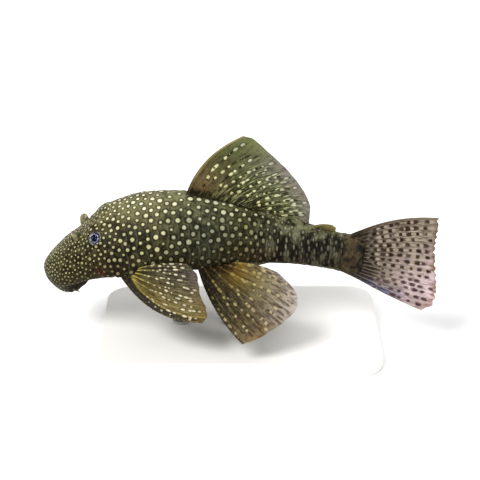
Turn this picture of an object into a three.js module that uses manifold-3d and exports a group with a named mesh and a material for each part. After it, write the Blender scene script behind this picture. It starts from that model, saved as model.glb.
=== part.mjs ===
// A female bristlenose pleco (Ancistrus), life size, swimming over a plain display stand.
// Millimetres, +Z up. The origin is the middle of the stand's underside. The snout points to -X,
// the fish's left side faces -Y.
//
// The fish is first laid out straight, in three body coordinates: "along", from the snout tip
// towards the tail, "side", positive to the fish's left, and "height". bend() then carries a
// straight point into the pose. Proportions are percentages of the standard length, which runs
// from the snout tip to the roots of the tail rays.
import * as THREE from "three";
import { mergeVertices } from "three/addons/utils/BufferGeometryUtils.js";
import Module from "manifold-3d";

const wasm = await Module();
wasm.setup();

// Driving dimensions
const STANDARD_LENGTH = 108.5;
const GAP = 0.3; // between neighbouring solids
const percent = (share) => (share * STANDARD_LENGTH) / 100;
const radians = THREE.MathUtils.degToRad;

// Monotone cubic through [x, y] pairs, level at both ends outside them.
function curveThrough(pairs) {
  const n = pairs.length;
  const x = pairs.map((p) => p[0]);
  const y = pairs.map((p) => p[1]);
  const step = x.slice(1).map((v, i) => v - x[i]);
  const rise = step.map((h, i) => (y[i + 1] - y[i]) / h);
  const slope = y.map((_, i) => {
    if (i === 0) return rise[0];
    if (i === n - 1) return rise[n - 2];
    if (rise[i - 1] * rise[i] <= 0) return 0;
    const before = 2 * step[i] + step[i - 1];
    const after = step[i] + 2 * step[i - 1];
    return (before + after) / (before / rise[i - 1] + after / rise[i]);
  });
  return (at) => {
    if (at <= x[0]) return y[0];
    if (at >= x[n - 1]) return y[n - 1];
    let i = 0;
    while (at > x[i + 1]) i += 1;
    const t = (at - x[i]) / step[i];
    const flip = 1 - t;
    return (
      y[i] * (1 + 2 * t) * flip * flip +
      y[i + 1] * t * t * (3 - 2 * t) +
      step[i] * (slope[i] * t * flip * flip - slope[i + 1] * t * t * flip)
    );
  };
}

// Body profiles: [percent along, percent of standard length]
const halfWidthAt = curveThrough([
  [0, 12.0], [5, 12.6], [12, 13.7], [20, 14.8], [28, 15.8], [34, 16.0],
  [46, 14.2], [57, 11.0], [70, 7.4], [83, 4.9], [95, 3.4], [100, 3.0],
]);
const topAt = curveThrough([
  [0, -3.1], [4, -1.5], [9, 1.5], [15, 4.2], [20, 7.7], [28, 11.7], [36, 13.5],
  [46, 13.8], [57, 12.0], [70, 9.1], [83, 7.0], [95, 5.6], [100, 5.9],
]);
const bottomAt = curveThrough([
  [0, -10.4], [5, -11.1], [10, -10.6], [17, -9.3], [26, -8.8], [46, -8.8], [57, -8.6], [70, -7.7],
  [83, -6.9], [95, -6.7], [100, -7.3],
]);
// Where the widest line lies, as a share of the depth above the belly
const widestAt = curveThrough([
  [0, 0.34], [12, 0.24], [30, 0.22], [46, 0.27], [70, 0.38], [90, 0.46], [100, 0.48],
]);
// Roundness of the back and of the belly: 2 is an ellipse, more is boxier
const backPowerAt = curveThrough([
  [0, 2.3], [8, 2.0], [18, 1.8], [30, 1.8], [60, 1.85], [85, 2.0], [100, 2.2],
]);
const bellyPowerAt = curveThrough([[0, 2.6], [12, 3.6], [50, 3.6], [75, 2.8], [100, 2.2]]);
// The snout is rounded off over these lengths, towards a tip at this height
const SNOUT = { widthRound: 12.0, heightRound: 5.2, tipHeight: -5.7 };

// Pose: how steeply the axis climbs, and how far it turns to the fish's left, going tailwards
const climbAt = curveThrough([
  [0, 16], [12, 14], [26, 8], [44, 2], [60, -2], [76, -5], [92, -7], [104, -6], [130, -5],
]);
const turnAt = curveThrough([[0, 8], [25, 7], [45, 3], [65, 3], [90, 11], [110, 14], [130, 16]]);
const ANCHOR = { along: 46, x: -20.6, y: 1.5, z: 38.9 };

// Bony plates: rings of plates behind the head, five rows a side
const PLATES = {
  first: 28.5,
  pitch: (100 - 28.5) / 24,
  rings: 24,
  torsoRings: 14,
  rows: 5,
  height: 0.42,
  step: 0.08,
  bulge: 0.55,
  process: 2.4,
  processWidth: 0.16,
  lean: 1.5,
  fadeRings: 5,
};
const HEAD_RINGS = 26;
const SNOUT_CROWDING = 1.6; // above 1, head rings lie closer towards the snout
const ROW_SAMPLES = [0, 0.2, 0.72];
const BELLY_SAMPLES = 4;

const round = (share) => {
  const rest = 1 - Math.min(Math.max(share, 0), 1);
  return Math.sqrt(1 - rest * rest);
};
const power = (value, exponent) => Math.sign(value) * Math.pow(Math.abs(value), exponent);

// The smooth body in the straight frame: angle 0 is the back, pi the belly, left in between.
function straightBody(along, angle) {
  const high = round(along / percent(SNOUT.heightRound));
  const share = (100 * along) / STANDARD_LENGTH;
  const tip = percent(SNOUT.tipHeight);
  const top = tip + (percent(topAt(share)) - tip) * high;
  const bottom = tip + (percent(bottomAt(share)) - tip) * high;
  const width = percent(halfWidthAt(share)) * round(along / percent(SNOUT.widthRound));
  const widest = bottom + (top - bottom) * widestAt(share);
  const upper = Math.cos(angle) >= 0;
  const exponent = 2 / (upper ? backPowerAt(share) : bellyPowerAt(share));
  const reach = upper ? top - widest : widest - bottom;
  return new THREE.Vector3(
    along,
    width * power(Math.sin(angle), exponent),
    widest + reach * power(Math.cos(angle), exponent),
  );
}

// Outward direction of the smooth body in the straight frame
function straightNormal(along, angle) {
  const da = 0.05;
  const dt = 0.01;
  const a = straightBody(along + da, angle).sub(straightBody(Math.max(along - da, 0), angle));
  const t = straightBody(along, angle + dt).sub(straightBody(along, angle - dt));
  return a.cross(t).normalize();
}

// Low swellings of the skin: brow, nostril and cheek, each on both sides
const EYE = { share: 23, turn: 0.27, radius: 2.3, sunk: 1.2 };
const NOSTRIL = { share: 15.4, turn: 0.15 };
const BROW = { share: 21.6, turn: 0.185 };
const CHEEK = { share: 23, turn: 0.5 };
const SWELLINGS = [
  { ...EYE, height: 1.2, reach: 3.0 },
  { ...BROW, height: 1.3, reach: 2.2 },
  { ...NOSTRIL, height: 0.3, reach: 2.4 },
  { ...CHEEK, height: 0.6, reach: 6.0 },
];
function relief(along, angle) {
  const radius = percent(halfWidthAt((100 * along) / STANDARD_LENGTH));
  let height = 0;
  for (const swelling of SWELLINGS) {
    const ahead = along - percent(swelling.share);
    const around = (Math.abs(angle) - Math.PI * swelling.turn) * radius;
    height += swelling.height * Math.exp(-(ahead ** 2 + around ** 2) / (2 * swelling.reach ** 2));
  }
  return height;
}
// A point on or over the skin in the straight frame
function skin(along, angle, lift = 0) {
  const raised = relief(along, angle) + lift;
  return straightBody(along, angle).addScaledVector(straightNormal(along, angle), raised);
}

// The bent axis, added up in short steps from the anchor
const AXIS_STEP = 0.5;
const AXIS_END = 1.5 * STANDARD_LENGTH;
function axisDirection(along) {
  const share = (100 * along) / STANDARD_LENGTH;
  const climb = radians(climbAt(share));
  const turn = radians(turnAt(share));
  return {
    back: new THREE.Vector3(
      Math.cos(climb) * Math.cos(turn),
      -Math.cos(climb) * Math.sin(turn),
      Math.sin(climb),
    ),
    left: new THREE.Vector3(-Math.sin(turn), -Math.cos(turn), 0),
  };
}
const axisPoints = [new THREE.Vector3()];
for (let along = 0; along < AXIS_END; along += AXIS_STEP) {
  const next = axisDirection(along + AXIS_STEP / 2).back.multiplyScalar(AXIS_STEP);
  axisPoints.push(axisPoints.at(-1).clone().add(next));
}
function axisPoint(along) {
  const place = Math.min(Math.max(along / AXIS_STEP, 0), axisPoints.length - 1.001);
  const i = Math.floor(place);
  const point = axisPoints[i].clone().lerp(axisPoints[i + 1], place - i);
  if (along < 0) point.addScaledVector(axisDirection(0).back, along);
  return point;
}
const shift = new THREE.Vector3(ANCHOR.x, ANCHOR.y, ANCHOR.z).sub(axisPoint(percent(ANCHOR.along)));

// Origin and three directions of the pose at a distance along the body
function frameAt(along) {
  const { back, left } = axisDirection(along);
  return { origin: axisPoint(along).add(shift), back, left, up: left.clone().cross(back) };
}
function bend(point) {
  const frame = frameAt(point.x);
  return frame.origin
    .addScaledVector(frame.left, point.y)
    .addScaledVector(frame.up, point.z);
}

// Angle of a place on the side: 0 at the back, 1 at the lower edge of the plates. The belly is
// bare in front, and the plates close round it towards the tail.
const plateEdgeAt = curveThrough([[0, 0.66], [50, 0.67], [68, 0.8], [80, 1], [100, 1]]);

// How far behind its ring a plate's edge lies at a place across the side: each edge bulges
// backwards, the ring reaches back along the spine, and it leans back on its way down. This fades
// out over the last rings.
function ringShift(number, across) {
  const inRow = (across * PLATES.rows) % 1;
  const bulge = PLATES.bulge * Math.sin(Math.PI * inRow);
  const process = PLATES.process * Math.exp(-((across / PLATES.processWidth) ** 2));
  const fade = Math.min(1, (PLATES.rings - number) / PLATES.fadeRings);
  return fade * (bulge + process + PLATES.lean * across);
}

// One sample round the body: side -1 or 1, across 0 at the back, 1 at the plates' edge, and
// above 1 on the belly up to 2 at its middle.
const aroundSamples = [];
for (const side of [1, -1]) {
  const half = [];
  for (let row = 0; row < PLATES.rows; row += 1)
    for (const inRow of ROW_SAMPLES)
      half.push({ across: (row + inRow) / PLATES.rows, border: inRow === 0 });
  for (let i = 0; i < BELLY_SAMPLES; i += 1)
    half.push({ across: 1 + i / BELLY_SAMPLES, border: i === 0 });
  half.push({ across: 2, border: true });
  const used = side === 1 ? half : half.slice(1, -1).reverse();
  for (const sample of used) aroundSamples.push({ ...sample, side });
}

function angleOf(sample, along) {
  const edge = Math.PI * plateEdgeAt((100 * along) / STANDARD_LENGTH);
  const { across, side } = sample;
  const angle = across <= 1 ? edge * across : edge + (Math.PI - edge) * (across - 1);
  return side * angle;
}

// A ring of body points at a plate number, where whole numbers are plate edges
function plateRing(number, raise, grow) {
  const ring = percent(PLATES.first) + percent(PLATES.pitch) * number;
  return aroundSamples.map((sample) => {
    const along = ring + ringShift(number, Math.min(sample.across, 1));
    const angle = angleOf(sample, along);
    const plated = sample.across < 1 && !sample.border ? 1 : 0;
    const lift = grow + raise * plated * PLATES.height;
    return bend(skin(along, angle, lift));
  });
}
function headRing(share, grow) {
  return aroundSamples.map((sample) => {
    const along = share * (percent(PLATES.first) + ringShift(0, Math.min(sample.across, 1)));
    const angle = angleOf(sample, along);
    return bend(skin(along, angle, grow));
  });
}

// A closed solid from rings of equal length, its ends closed to their middles or to given tips
function loft(rings, startTip, endTip) {
  const n = rings[0].length;
  const middle = (ring) =>
    ring.reduce((sum, p) => sum.add(p), new THREE.Vector3()).divideScalar(ring.length);
  const points = [...rings.flat(), startTip ?? middle(rings[0]), endTip ?? middle(rings.at(-1))];
  const triangles = [];
  for (let i = 0; i + 1 < rings.length; i += 1)
    for (let j = 0; j < n; j += 1) {
      const a = i * n + j;
      const b = i * n + ((j + 1) % n);
      triangles.push(a, a + n, b, b, a + n, b + n);
    }
  const start = points.length - 2;
  const last = (rings.length - 1) * n;
  for (let j = 0; j < n; j += 1) {
    triangles.push(start, j, (j + 1) % n);
    triangles.push(start + 1, last + ((j + 1) % n), last + j);
  }
  return solidFrom(points, triangles);
}

function solidFrom(points, triangles) {
  const make = (order) =>
    new wasm.Manifold(
      new wasm.Mesh({
        numProp: 3,
        vertProperties: new Float32Array(points.flatMap((p) => [p.x, p.y, p.z])),
        triVerts: new Uint32Array(order),
      }),
    );
  const made = make(triangles);
  return made.volume() > 0 ? made : make([...triangles].reverse());
}
const headShares = [];
for (let i = 1; i <= HEAD_RINGS; i += 1) headShares.push((i / HEAD_RINGS) ** SNOUT_CROWDING);
const headCap = 1 - GAP / 2 / percent(PLATES.first);
const plateMargin = (gap) => gap / percent(PLATES.pitch);

function headSolid(grow) {
  const rings = headShares.map((share) => headRing(Math.min(share, headCap), grow));
  const tip = straightBody(0, 0);
  tip.x -= grow;
  return loft(rings, bend(tip));
}
function plateRings(from, to, grow) {
  const rings = [];
  for (let k = from; k < to; k += 1) {
    const start = k === from ? plateMargin(GAP / 2) : PLATES.step / 2;
    const end = k + 1 === to ? plateMargin(GAP / 2 - grow) : PLATES.step / 2;
    rings.push(plateRing(k + start, 0, grow));
    rings.push(plateRing(k + 1 - end, 1, grow));
  }
  return rings;
}

// The body a gap larger all round, which cuts every fin's root and the mouth's seat
const clearance = (() => {
  const rings = headShares.map((share) => headRing(Math.min(share, headCap), GAP));
  rings.push(...plateRings(0, PLATES.rings, GAP));
  return loft(rings, bend(straightBody(0, 0)));
})();
const largest = (solid) =>
  solid.decompose().reduce((best, piece) => (piece.volume() > best.volume() ? piece : best));

// A fin is a thin vane between a leading edge, u = 0, and a last ray, u = 1, from its root, s = 0,
// to its margin, s = 1. Rays stand proud of the membrane on both faces.
const FIN_ROWS = [0, 0.12, 0.26, 0.42, 0.58, 0.73, 0.88, 1];
const MEMBRANE = 0.55;
const RAY_SHARE = 0.15; // half a ray's width, as a share of the distance between rays
const SPINE_SHARE = 0.39; // the spine's whole width, as the same share
const RAY_TAPER = 0.75;
const FOOT_REACH = 0.16; // share of the fin's length over which its thick foot fades
const FOOT = { edge: 0.6, membrane: 0.8, spine: 1, ray: 1 };
function finSolid({ rays, rootAt, tipAt, sweepAt, bowAt, normal, place, rayHeight, spine, base }) {
  const spacing = 1 / (rays - 1);
  const columns = [{ u: 0, kind: "edge" }, { u: RAY_SHARE * spacing, kind: "spine" }];
  columns.push({ u: SPINE_SHARE * spacing, kind: "membrane" });
  for (let ray = 1; ray < rays; ray += 1) {
    const u = ray * spacing;
    columns.push({ u: u - RAY_SHARE * spacing, kind: "membrane" });
    columns.push({ u, kind: ray === rays - 1 ? "edge" : "ray" });
    if (ray < rays - 1) columns.push({ u: u + RAY_SHARE * spacing, kind: "membrane" });
  }
  const thicknessAt = (kind, s) => {
    const taper = 1 - RAY_TAPER * s;
    const foot = base * Math.exp(-((s / FOOT_REACH) ** 2)) * FOOT[kind];
    if (kind === "spine") return MEMBRANE + (spine - MEMBRANE) * taper + foot;
    if (kind === "ray") return MEMBRANE + rayHeight * taper + foot;
    return MEMBRANE + foot;
  };
  const faces = [[], []];
  for (const { u, kind } of columns)
    for (const s of FIN_ROWS) {
      const root = rootAt(u);
      const reach = tipAt(u).sub(root);
      const across = reach.clone().cross(normal).multiplyScalar(sweepAt(u) * 4 * s * (1 - s));
      const middle = root.clone().addScaledVector(reach, s).add(across);
      middle.addScaledVector(normal, bowAt(u, s));
      const half = thicknessAt(kind, s) / 2;
      faces[0].push(place(middle.clone().addScaledVector(normal, half)));
      faces[1].push(place(middle.addScaledVector(normal, -half)));
    }
  const rows = FIN_ROWS.length;
  const total = columns.length * rows;
  const triangles = [];
  for (let i = 0; i + 1 < columns.length; i += 1)
    for (let j = 0; j + 1 < rows; j += 1) {
      const a = i * rows + j;
      const c = a + rows;
      triangles.push(a, c, a + 1, a + 1, c, c + 1);
      const [b, d] = [a + total, c + total];
      triangles.push(b, b + 1, d, b + 1, d + 1, d);
    }
  const rim = [];
  for (let i = 0; i < columns.length; i += 1) rim.push(i * rows);
  for (let j = 1; j < rows; j += 1) rim.push((columns.length - 1) * rows + j);
  for (let i = columns.length - 2; i >= 0; i -= 1) rim.push(i * rows + rows - 1);
  for (let j = rows - 2; j > 0; j -= 1) rim.push(j);
  rim.forEach((a, i) => {
    const b = rim[(i + 1) % rim.length];
    triangles.push(a, a + total, b, b, a + total, b + total);
  });
  return solidFrom([...faces[0], ...faces[1]], triangles);
}

const inMiddlePlane = (share, height) => new THREE.Vector3(percent(share), 0, percent(height));
const SIDEWAYS = new THREE.Vector3(0, 1, 0);

// A fin on the middle plane: roots and tips as [share of the fin, percent along, percent high].
// It leans to one side, and bows in half a wave from its front to its back.
const WAVE_START = 0.25;
function middleFin(spec) {
  const root = [0, 1].map((i) => curveThrough(spec.roots.map((r) => [r[0], r[i + 1]])));
  const tip = [0, 1].map((i) => curveThrough(spec.tips.map((t) => [t[0], t[i + 1]])));
  const sweep = curveThrough(spec.sweep);
  return finSolid({
    ...spec,
    rootAt: (u) => inMiddlePlane(root[0](u), root[1](u)),
    tipAt: (u) => inMiddlePlane(tip[0](u), tip[1](u)),
    sweepAt: sweep,
    bowAt: (u, s) => spec.lean * s + spec.bow * s * s * Math.sin(Math.PI * (WAVE_START + u)),
    normal: SIDEWAYS,
    place: bend,
  });
}
const DORSAL = {
  rays: 8,
  roots: [[0, 48.2, 12.2], [1, 71.5, 6.6]],
  tips: [
    [0, 64.2, 33.3], [0.06, 66.5, 33.0], [0.14, 68.9, 31.3], [0.29, 73.2, 27.6], [0.43, 77.1, 24.2],
    [0.57, 80.7, 20.3], [0.71, 83.5, 16.4], [0.86, 85.5, 11.8], [1, 85.8, 6.3],
  ],
  sweep: [[0, 0.095], [0.3, 0.06], [1, 0.03]],
  lean: 0,
  bow: 1.2,
  rayHeight: 0.5,
  spine: 1.5,
  base: 0.9,
};
const ADIPOSE = {
  rays: 2,
  roots: [[0, 85.0, 4.4], [1, 91.0, 3.4]],
  tips: [[0, 92.8, 7.8], [0.5, 94.2, 7.0], [1, 94.2, 5.0]],
  sweep: [[0, 0.12], [1, -0.06]],
  lean: 0,
  bow: 0,
  rayHeight: 0.4,
  spine: 1.7,
  base: 0.7,
};
const CAUDAL = {
  rays: 16,
  roots: [[0, 97.8, 4.6], [0.2, 98.8, 2.8], [0.8, 98.8, -4.4], [1, 97.8, -6.4]],
  tips: [
    [0, 125.0, 17.4], [0.15, 125.4, 12.7], [0.32, 125.4, 7.6], [0.45, 126.0, 3.6],
    [0.6, 127.1, -1.8], [0.74, 127.7, -6.4], [0.85, 127.9, -9.5], [0.94, 127.2, -13.2],
    [1, 124.1, -15.6],
  ],
  sweep: [[0, 0.075], [0.3, 0.03], [0.7, -0.01], [1, -0.02]],
  lean: 0,
  bow: 1.5,
  rayHeight: 0.4,
  spine: 1.4,
  base: 2.4,
};
const ANAL = {
  rays: 5,
  roots: [[0, 69.0, -6.6], [1, 74.0, -6.4]],
  tips: [[0, 78.0, -9.4], [0.5, 80.0, -9.2], [1, 80.6, -8.6]],
  sweep: [[0, -0.05], [1, -0.02]],
  lean: -2.6,
  bow: 0.2,
  rayHeight: 0.35,
  spine: 1.1,
  base: 0.5,
};

// A paired fin: its root runs over the body from one place to another, each a percentage along and
// a share of the way round. Its tips are set in a plane through the root of its spine, in percent
// along the spine and across towards the last ray. Directions are shares of back, out and up.
function pairedFin(spec, side) {
  const seat = (share, turn) => {
    const angle = side * turn * Math.PI;
    const along = percent(share);
    return { skin: bend(skin(along, angle)), deep: bend(skin(along, angle, -spec.sunk)) };
  };
  const { back, left, up } = frameAt(percent(spec.from[0]));
  const direction = (shares) =>
    back.clone().multiplyScalar(shares[0])
      .addScaledVector(left, side * shares[1])
      .addScaledVector(up, shares[2])
      .normalize();
  const e1 = direction(spec.spineLine);
  const inner = direction(spec.innerLine);
  const e2 = inner.addScaledVector(e1, -inner.dot(e1)).normalize();
  const normal = e1.clone().cross(e2).multiplyScalar(side);
  const origin = seat(...spec.from).skin;
  const tip = [0, 1].map((i) => curveThrough(spec.tips.map((t) => [t[0], t[i + 1]])));
  const sweep = curveThrough(spec.sweep);
  return finSolid({
    ...spec,
    rootAt: (u) =>
      seat(
        THREE.MathUtils.lerp(spec.from[0], spec.to[0], u),
        THREE.MathUtils.lerp(spec.from[1], spec.to[1], u),
      ).deep,
    tipAt: (u) =>
      origin.clone().addScaledVector(e1, percent(tip[0](u))).addScaledVector(e2, percent(tip[1](u))),
    sweepAt: (u) => side * sweep(u),
    bowAt: (u, s) => spec.bow * u * Math.sin(Math.PI * s),
    normal,
    place: (point) => point,
  });
}
const PECTORAL = {
  rays: 7,
  from: [28.5, 0.62],
  to: [33, 0.55],
  sunk: 1.6,
  spineLine: [0.857, 0.31, -0.41],
  innerLine: [0.965, 0.2, 0.05],
  tips: [
    [0, 30.3, -0.3], [0.15, 30.9, 2.0], [0.3, 29.5, 4.6], [0.5, 27.0, 6.6],
    [0.7, 24.6, 10.0], [0.85, 22.6, 12.8], [1, 18.6, 14.0],
  ],
  sweep: [[0, 0.15], [0.5, 0.03], [1, -0.06]],
  bow: 1.5,
  rayHeight: 0.55,
  spine: 2.0,
  base: 1.0,
};
const PELVIC = {
  rays: 6,
  from: [52.6, 0.66],
  to: [60.5, 0.78],
  sunk: 1.4,
  spineLine: [0.54, 0.547, -0.645],
  innerLine: [0.99, 0.107, 0.0],
  tips: [
    [0, 27.4, -0.2], [0.17, 28.6, 5.5], [0.34, 28.5, 10.6], [0.5, 28.2, 15.0],
    [0.67, 26.3, 19.9], [0.84, 21.5, 21.9], [1, 14.5, 20.5],
  ],
  sweep: [[0, 0.067], [0.5, 0.0], [1, -0.06]],
  bow: 1.0,
  rayHeight: 0.5,
  spine: 1.6,
  base: 0.8,
};

// A closed three.js geometry, placed by a matrix, as a solid
function solidOf(geometry, matrix) {
  geometry.deleteAttribute("normal");
  geometry.deleteAttribute("uv");
  const merged = mergeVertices(geometry, 1e-4).applyMatrix4(matrix);
  const position = merged.getAttribute("position");
  const points = [];
  for (let i = 0; i < position.count; i += 1)
    points.push(new THREE.Vector3().fromBufferAttribute(position, i));
  return solidFrom(points, [...merged.index.array]);
}

// Directions on the skin in the world: out of it, tailwards along it, and across
function skinFrame(share, turn, side, lift = 0) {
  const angle = side * turn * Math.PI;
  const at = bend(skin(percent(share), angle, lift));
  const out = bend(skin(percent(share), angle, lift + 1)).sub(at).normalize();
  const next = bend(skin(percent(share) + 1, angle, lift)).sub(at);
  const tailwards = next.addScaledVector(out, -next.dot(out)).normalize();
  const across = out.clone().cross(tailwards);
  return { at, out, tailwards, across };
}
function seated(share, turn, side, lift, size) {
  const { at, out, tailwards, across } = skinFrame(share, turn, side, lift);
  return new THREE.Matrix4().makeBasis(tailwards, across, out).setPosition(at).scale(size);
}
const vector = (x, y, z) => new THREE.Vector3(x, y, z);

const eyeball = (side, grow) => {
  const radius = EYE.radius + grow;
  const matrix = seated(EYE.share, EYE.turn, side, -EYE.sunk, vector(radius, radius, radius));
  return solidOf(new THREE.SphereGeometry(1, 18, 10).rotateX(Math.PI / 2), matrix);
};

// The flap between the two openings of a nostril, leant back and swung outwards, and the openings
const FLAP = { thick: 0.9, wide: 2.0, tall: 3.0, lean: 0.4, swing: 0.5 };
const OPENING = { size: [0.9, 1.15, 0.8], ahead: 1.6 };
function nostrilFlap(side) {
  const matrix = seated(NOSTRIL.share, NOSTRIL.turn, side, 0, vector(1, 1, 1))
    .multiply(new THREE.Matrix4().makeRotationY(FLAP.lean))
    .multiply(new THREE.Matrix4().makeRotationZ(side * FLAP.swing))
    .scale(vector(FLAP.thick, FLAP.wide, FLAP.tall));
  return solidOf(new THREE.SphereGeometry(1, 8, 6).rotateX(Math.PI / 2), matrix);
}
function nostrilOpening(side, way) {
  const share = NOSTRIL.share + (way * OPENING.ahead * 100) / STANDARD_LENGTH;
  const matrix = seated(share, NOSTRIL.turn, side, 0, vector(...OPENING.size));
  return solidOf(new THREE.SphereGeometry(1, 8, 6).rotateX(Math.PI / 2), matrix);
}

// Short spines folded back on the cheek
const CHEEK_SPINES = {
  count: 9,
  length: 2.85,
  shortening: 0.9, // of the outermost ones
  radius: 0.42,
  lean: 0.42,
  sunk: 0.5,
  fieldLength: 1.3, // percent of the standard length
  fieldTurn: 0.1,
};
const STAGGER = [0, 2, 4, 1, 3];
function cheekSpine(side, index) {
  const spread = index / (CHEEK_SPINES.count - 1) - 0.5;
  const stagger = STAGGER[index % STAGGER.length] / (STAGGER.length - 1) - 0.5;
  const share = CHEEK.share + CHEEK_SPINES.fieldLength * stagger;
  const turn = CHEEK.turn + CHEEK_SPINES.fieldTurn * spread;
  const length = CHEEK_SPINES.length - CHEEK_SPINES.shortening * Math.abs(2 * spread);
  const { at, out, tailwards } = skinFrame(share, turn, side, -CHEEK_SPINES.sunk);
  const line = tailwards.addScaledVector(out, CHEEK_SPINES.lean).normalize();
  const turned = new THREE.Quaternion().setFromUnitVectors(vector(0, 1, 0), line);
  const middle = at.addScaledVector(line, length / 2);
  const matrix = new THREE.Matrix4().compose(middle, turned, vector(1, 1, 1));
  return solidOf(new THREE.ConeGeometry(CHEEK_SPINES.radius, length, 5), matrix);
}

function headWithFeatures() {
  let solid = headSolid(0);
  for (const side of [1, -1]) {
    solid = solid.add(nostrilFlap(side));
    for (const way of [1, -1]) solid = solid.subtract(nostrilOpening(side, way));
    for (let i = 0; i < CHEEK_SPINES.count; i += 1) solid = solid.add(cheekSpine(side, i));
    solid = solid.subtract(eyeball(side, GAP));
  }
  return largest(solid);
}

// The sucker mouth: a soft round disc under the snout, hollowed towards the mouth itself
const MOUTH = { share: 8.7, level: -9.15, halfLength: 8.6, halfWidth: 9.6, segments: 28 };
// From the root inside the head down to the rim and in to the mouth: [share of radius at the sides
// and behind, depth, share of radius in front]
const LIP_PROFILE = [
  [0.76, -3.0, 0.8], [0.86, 0.2, 1.0], [0.96, 2.2, 1.0], [1.0, 3.9, 0.88], [0.97, 4.7, 0.77],
  [0.86, 5.0, 0.66], [0.66, 4.1, 0.52], [0.46, 3.6, 0.4], [0.36, 3.9, 0.31], [0.28, 3.6, 0.24],
  [0.2, 1.8, 0.18],
];
const LIP_DEPTH = { front: 0.85, side: 1.0, rear: 0.45 };
// From this ring of the profile inwards, the mouth itself: shorter and wider than the disc
const INNER = { ring: 8, length: 0.7, width: 1.25 };
function lipDepth(turn) {
  const rearwards = Math.cos(turn);
  const end = rearwards > 0 ? LIP_DEPTH.rear : LIP_DEPTH.front;
  return LIP_DEPTH.side + (end - LIP_DEPTH.side) * rearwards ** 2;
}
function mouthPoint(ring, turn) {
  const [sideShare, depth, frontShare] = LIP_PROFILE[ring];
  const shape = ring >= INNER.ring ? INNER : { length: 1, width: 1 };
  const share = sideShare + (frontShare - sideShare) * Math.max(-Math.cos(turn), 0);
  const along = percent(MOUTH.share) + MOUTH.halfLength * shape.length * share * Math.cos(turn);
  const side = MOUTH.halfWidth * shape.width * share * Math.sin(turn);
  const hang = depth * (depth > 0 ? lipDepth(turn) : 1);
  return bend(vector(along, side, percent(MOUTH.level) - hang));
}
// A short barbel at each side of the disc, pointing outwards and back
const BARBEL = { length: 5.0, radius: 0.75, turn: 1.35, rimRing: 3, lipRing: 6, backwards: 0.9, sunk: 1.6 };
function barbel(side) {
  const root = mouthPoint(BARBEL.rimRing, side * BARBEL.turn);
  const line = root.clone().sub(mouthPoint(BARBEL.lipRing, side * BARBEL.turn)).normalize();
  line.addScaledVector(frameAt(percent(MOUTH.share)).back, BARBEL.backwards).normalize();
  const turned = new THREE.Quaternion().setFromUnitVectors(vector(0, 1, 0), line);
  const middle = root.addScaledVector(line, BARBEL.length / 2 - BARBEL.sunk);
  const matrix = new THREE.Matrix4().compose(middle, turned, vector(1, 1, 1));
  return solidOf(new THREE.ConeGeometry(BARBEL.radius, BARBEL.length, 8), matrix);
}
function mouthSolid() {
  const rings = LIP_PROFILE.map((_, ring) => {
    const points = [];
    for (let i = 0; i < MOUTH.segments; i += 1)
      points.push(mouthPoint(ring, (2 * Math.PI * i) / MOUTH.segments));
    return points;
  });
  return largest(loft(rings).add(barbel(1)).add(barbel(-1)).subtract(clearance));
}

// Display stand: a flat base with rounded corners, and two rods with a collar at their foot
const BASE = { length: 96, width: 58, thick: 5, corner: 9, edge: 0.8 };
const ROD = { radius: 1.6, segments: 28, shares: [46, 62.5], intoBelly: 3 };
const COLLAR = { radius: 3.3, height: 1.4, edge: 0.3, fillet: 0.4 };
function baseSolid() {
  const shape = new THREE.Shape();
  const [x, y, r] = [BASE.length / 2 - BASE.edge, BASE.width / 2 - BASE.edge, BASE.corner - BASE.edge];
  shape.moveTo(-x + r, -y);
  shape.lineTo(x - r, -y);
  shape.absarc(x - r, -y + r, r, -Math.PI / 2, 0);
  shape.lineTo(x, y - r);
  shape.absarc(x - r, y - r, r, 0, Math.PI / 2);
  shape.lineTo(-x + r, y);
  shape.absarc(-x + r, y - r, r, Math.PI / 2, Math.PI);
  shape.lineTo(-x, -y + r);
  shape.absarc(-x + r, -y + r, r, Math.PI, 1.5 * Math.PI);
  const geometry = new THREE.ExtrudeGeometry(shape, {
    depth: BASE.thick - 2 * BASE.edge,
    curveSegments: 8,
    bevelThickness: BASE.edge,
    bevelSize: BASE.edge,
    bevelSegments: 2,
  });
  return solidOf(geometry, new THREE.Matrix4().makeTranslation(0, 0, BASE.edge));
}
function rodSolid(share) {
  const belly = bend(vector(percent(share), 0, percent(bottomAt(share))));
  const foot = BASE.thick + GAP;
  const top = belly.z + ROD.intoBelly;
  const shoulder = foot + COLLAR.height;
  const profile = [
    [0, foot], [COLLAR.radius - COLLAR.edge, foot], [COLLAR.radius, foot + COLLAR.edge],
    [COLLAR.radius, shoulder - COLLAR.fillet], [ROD.radius + COLLAR.fillet, shoulder],
    [ROD.radius, shoulder + COLLAR.fillet], [ROD.radius, top], [0, top],
  ].map(([radius, height]) => new THREE.Vector2(radius, height));
  const geometry = new THREE.LatheGeometry(profile, ROD.segments).rotateX(Math.PI / 2);
  const rod = solidOf(geometry, new THREE.Matrix4().makeTranslation(belly.x, belly.y, 0));
  return largest(rod.subtract(clearance));
}

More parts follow.
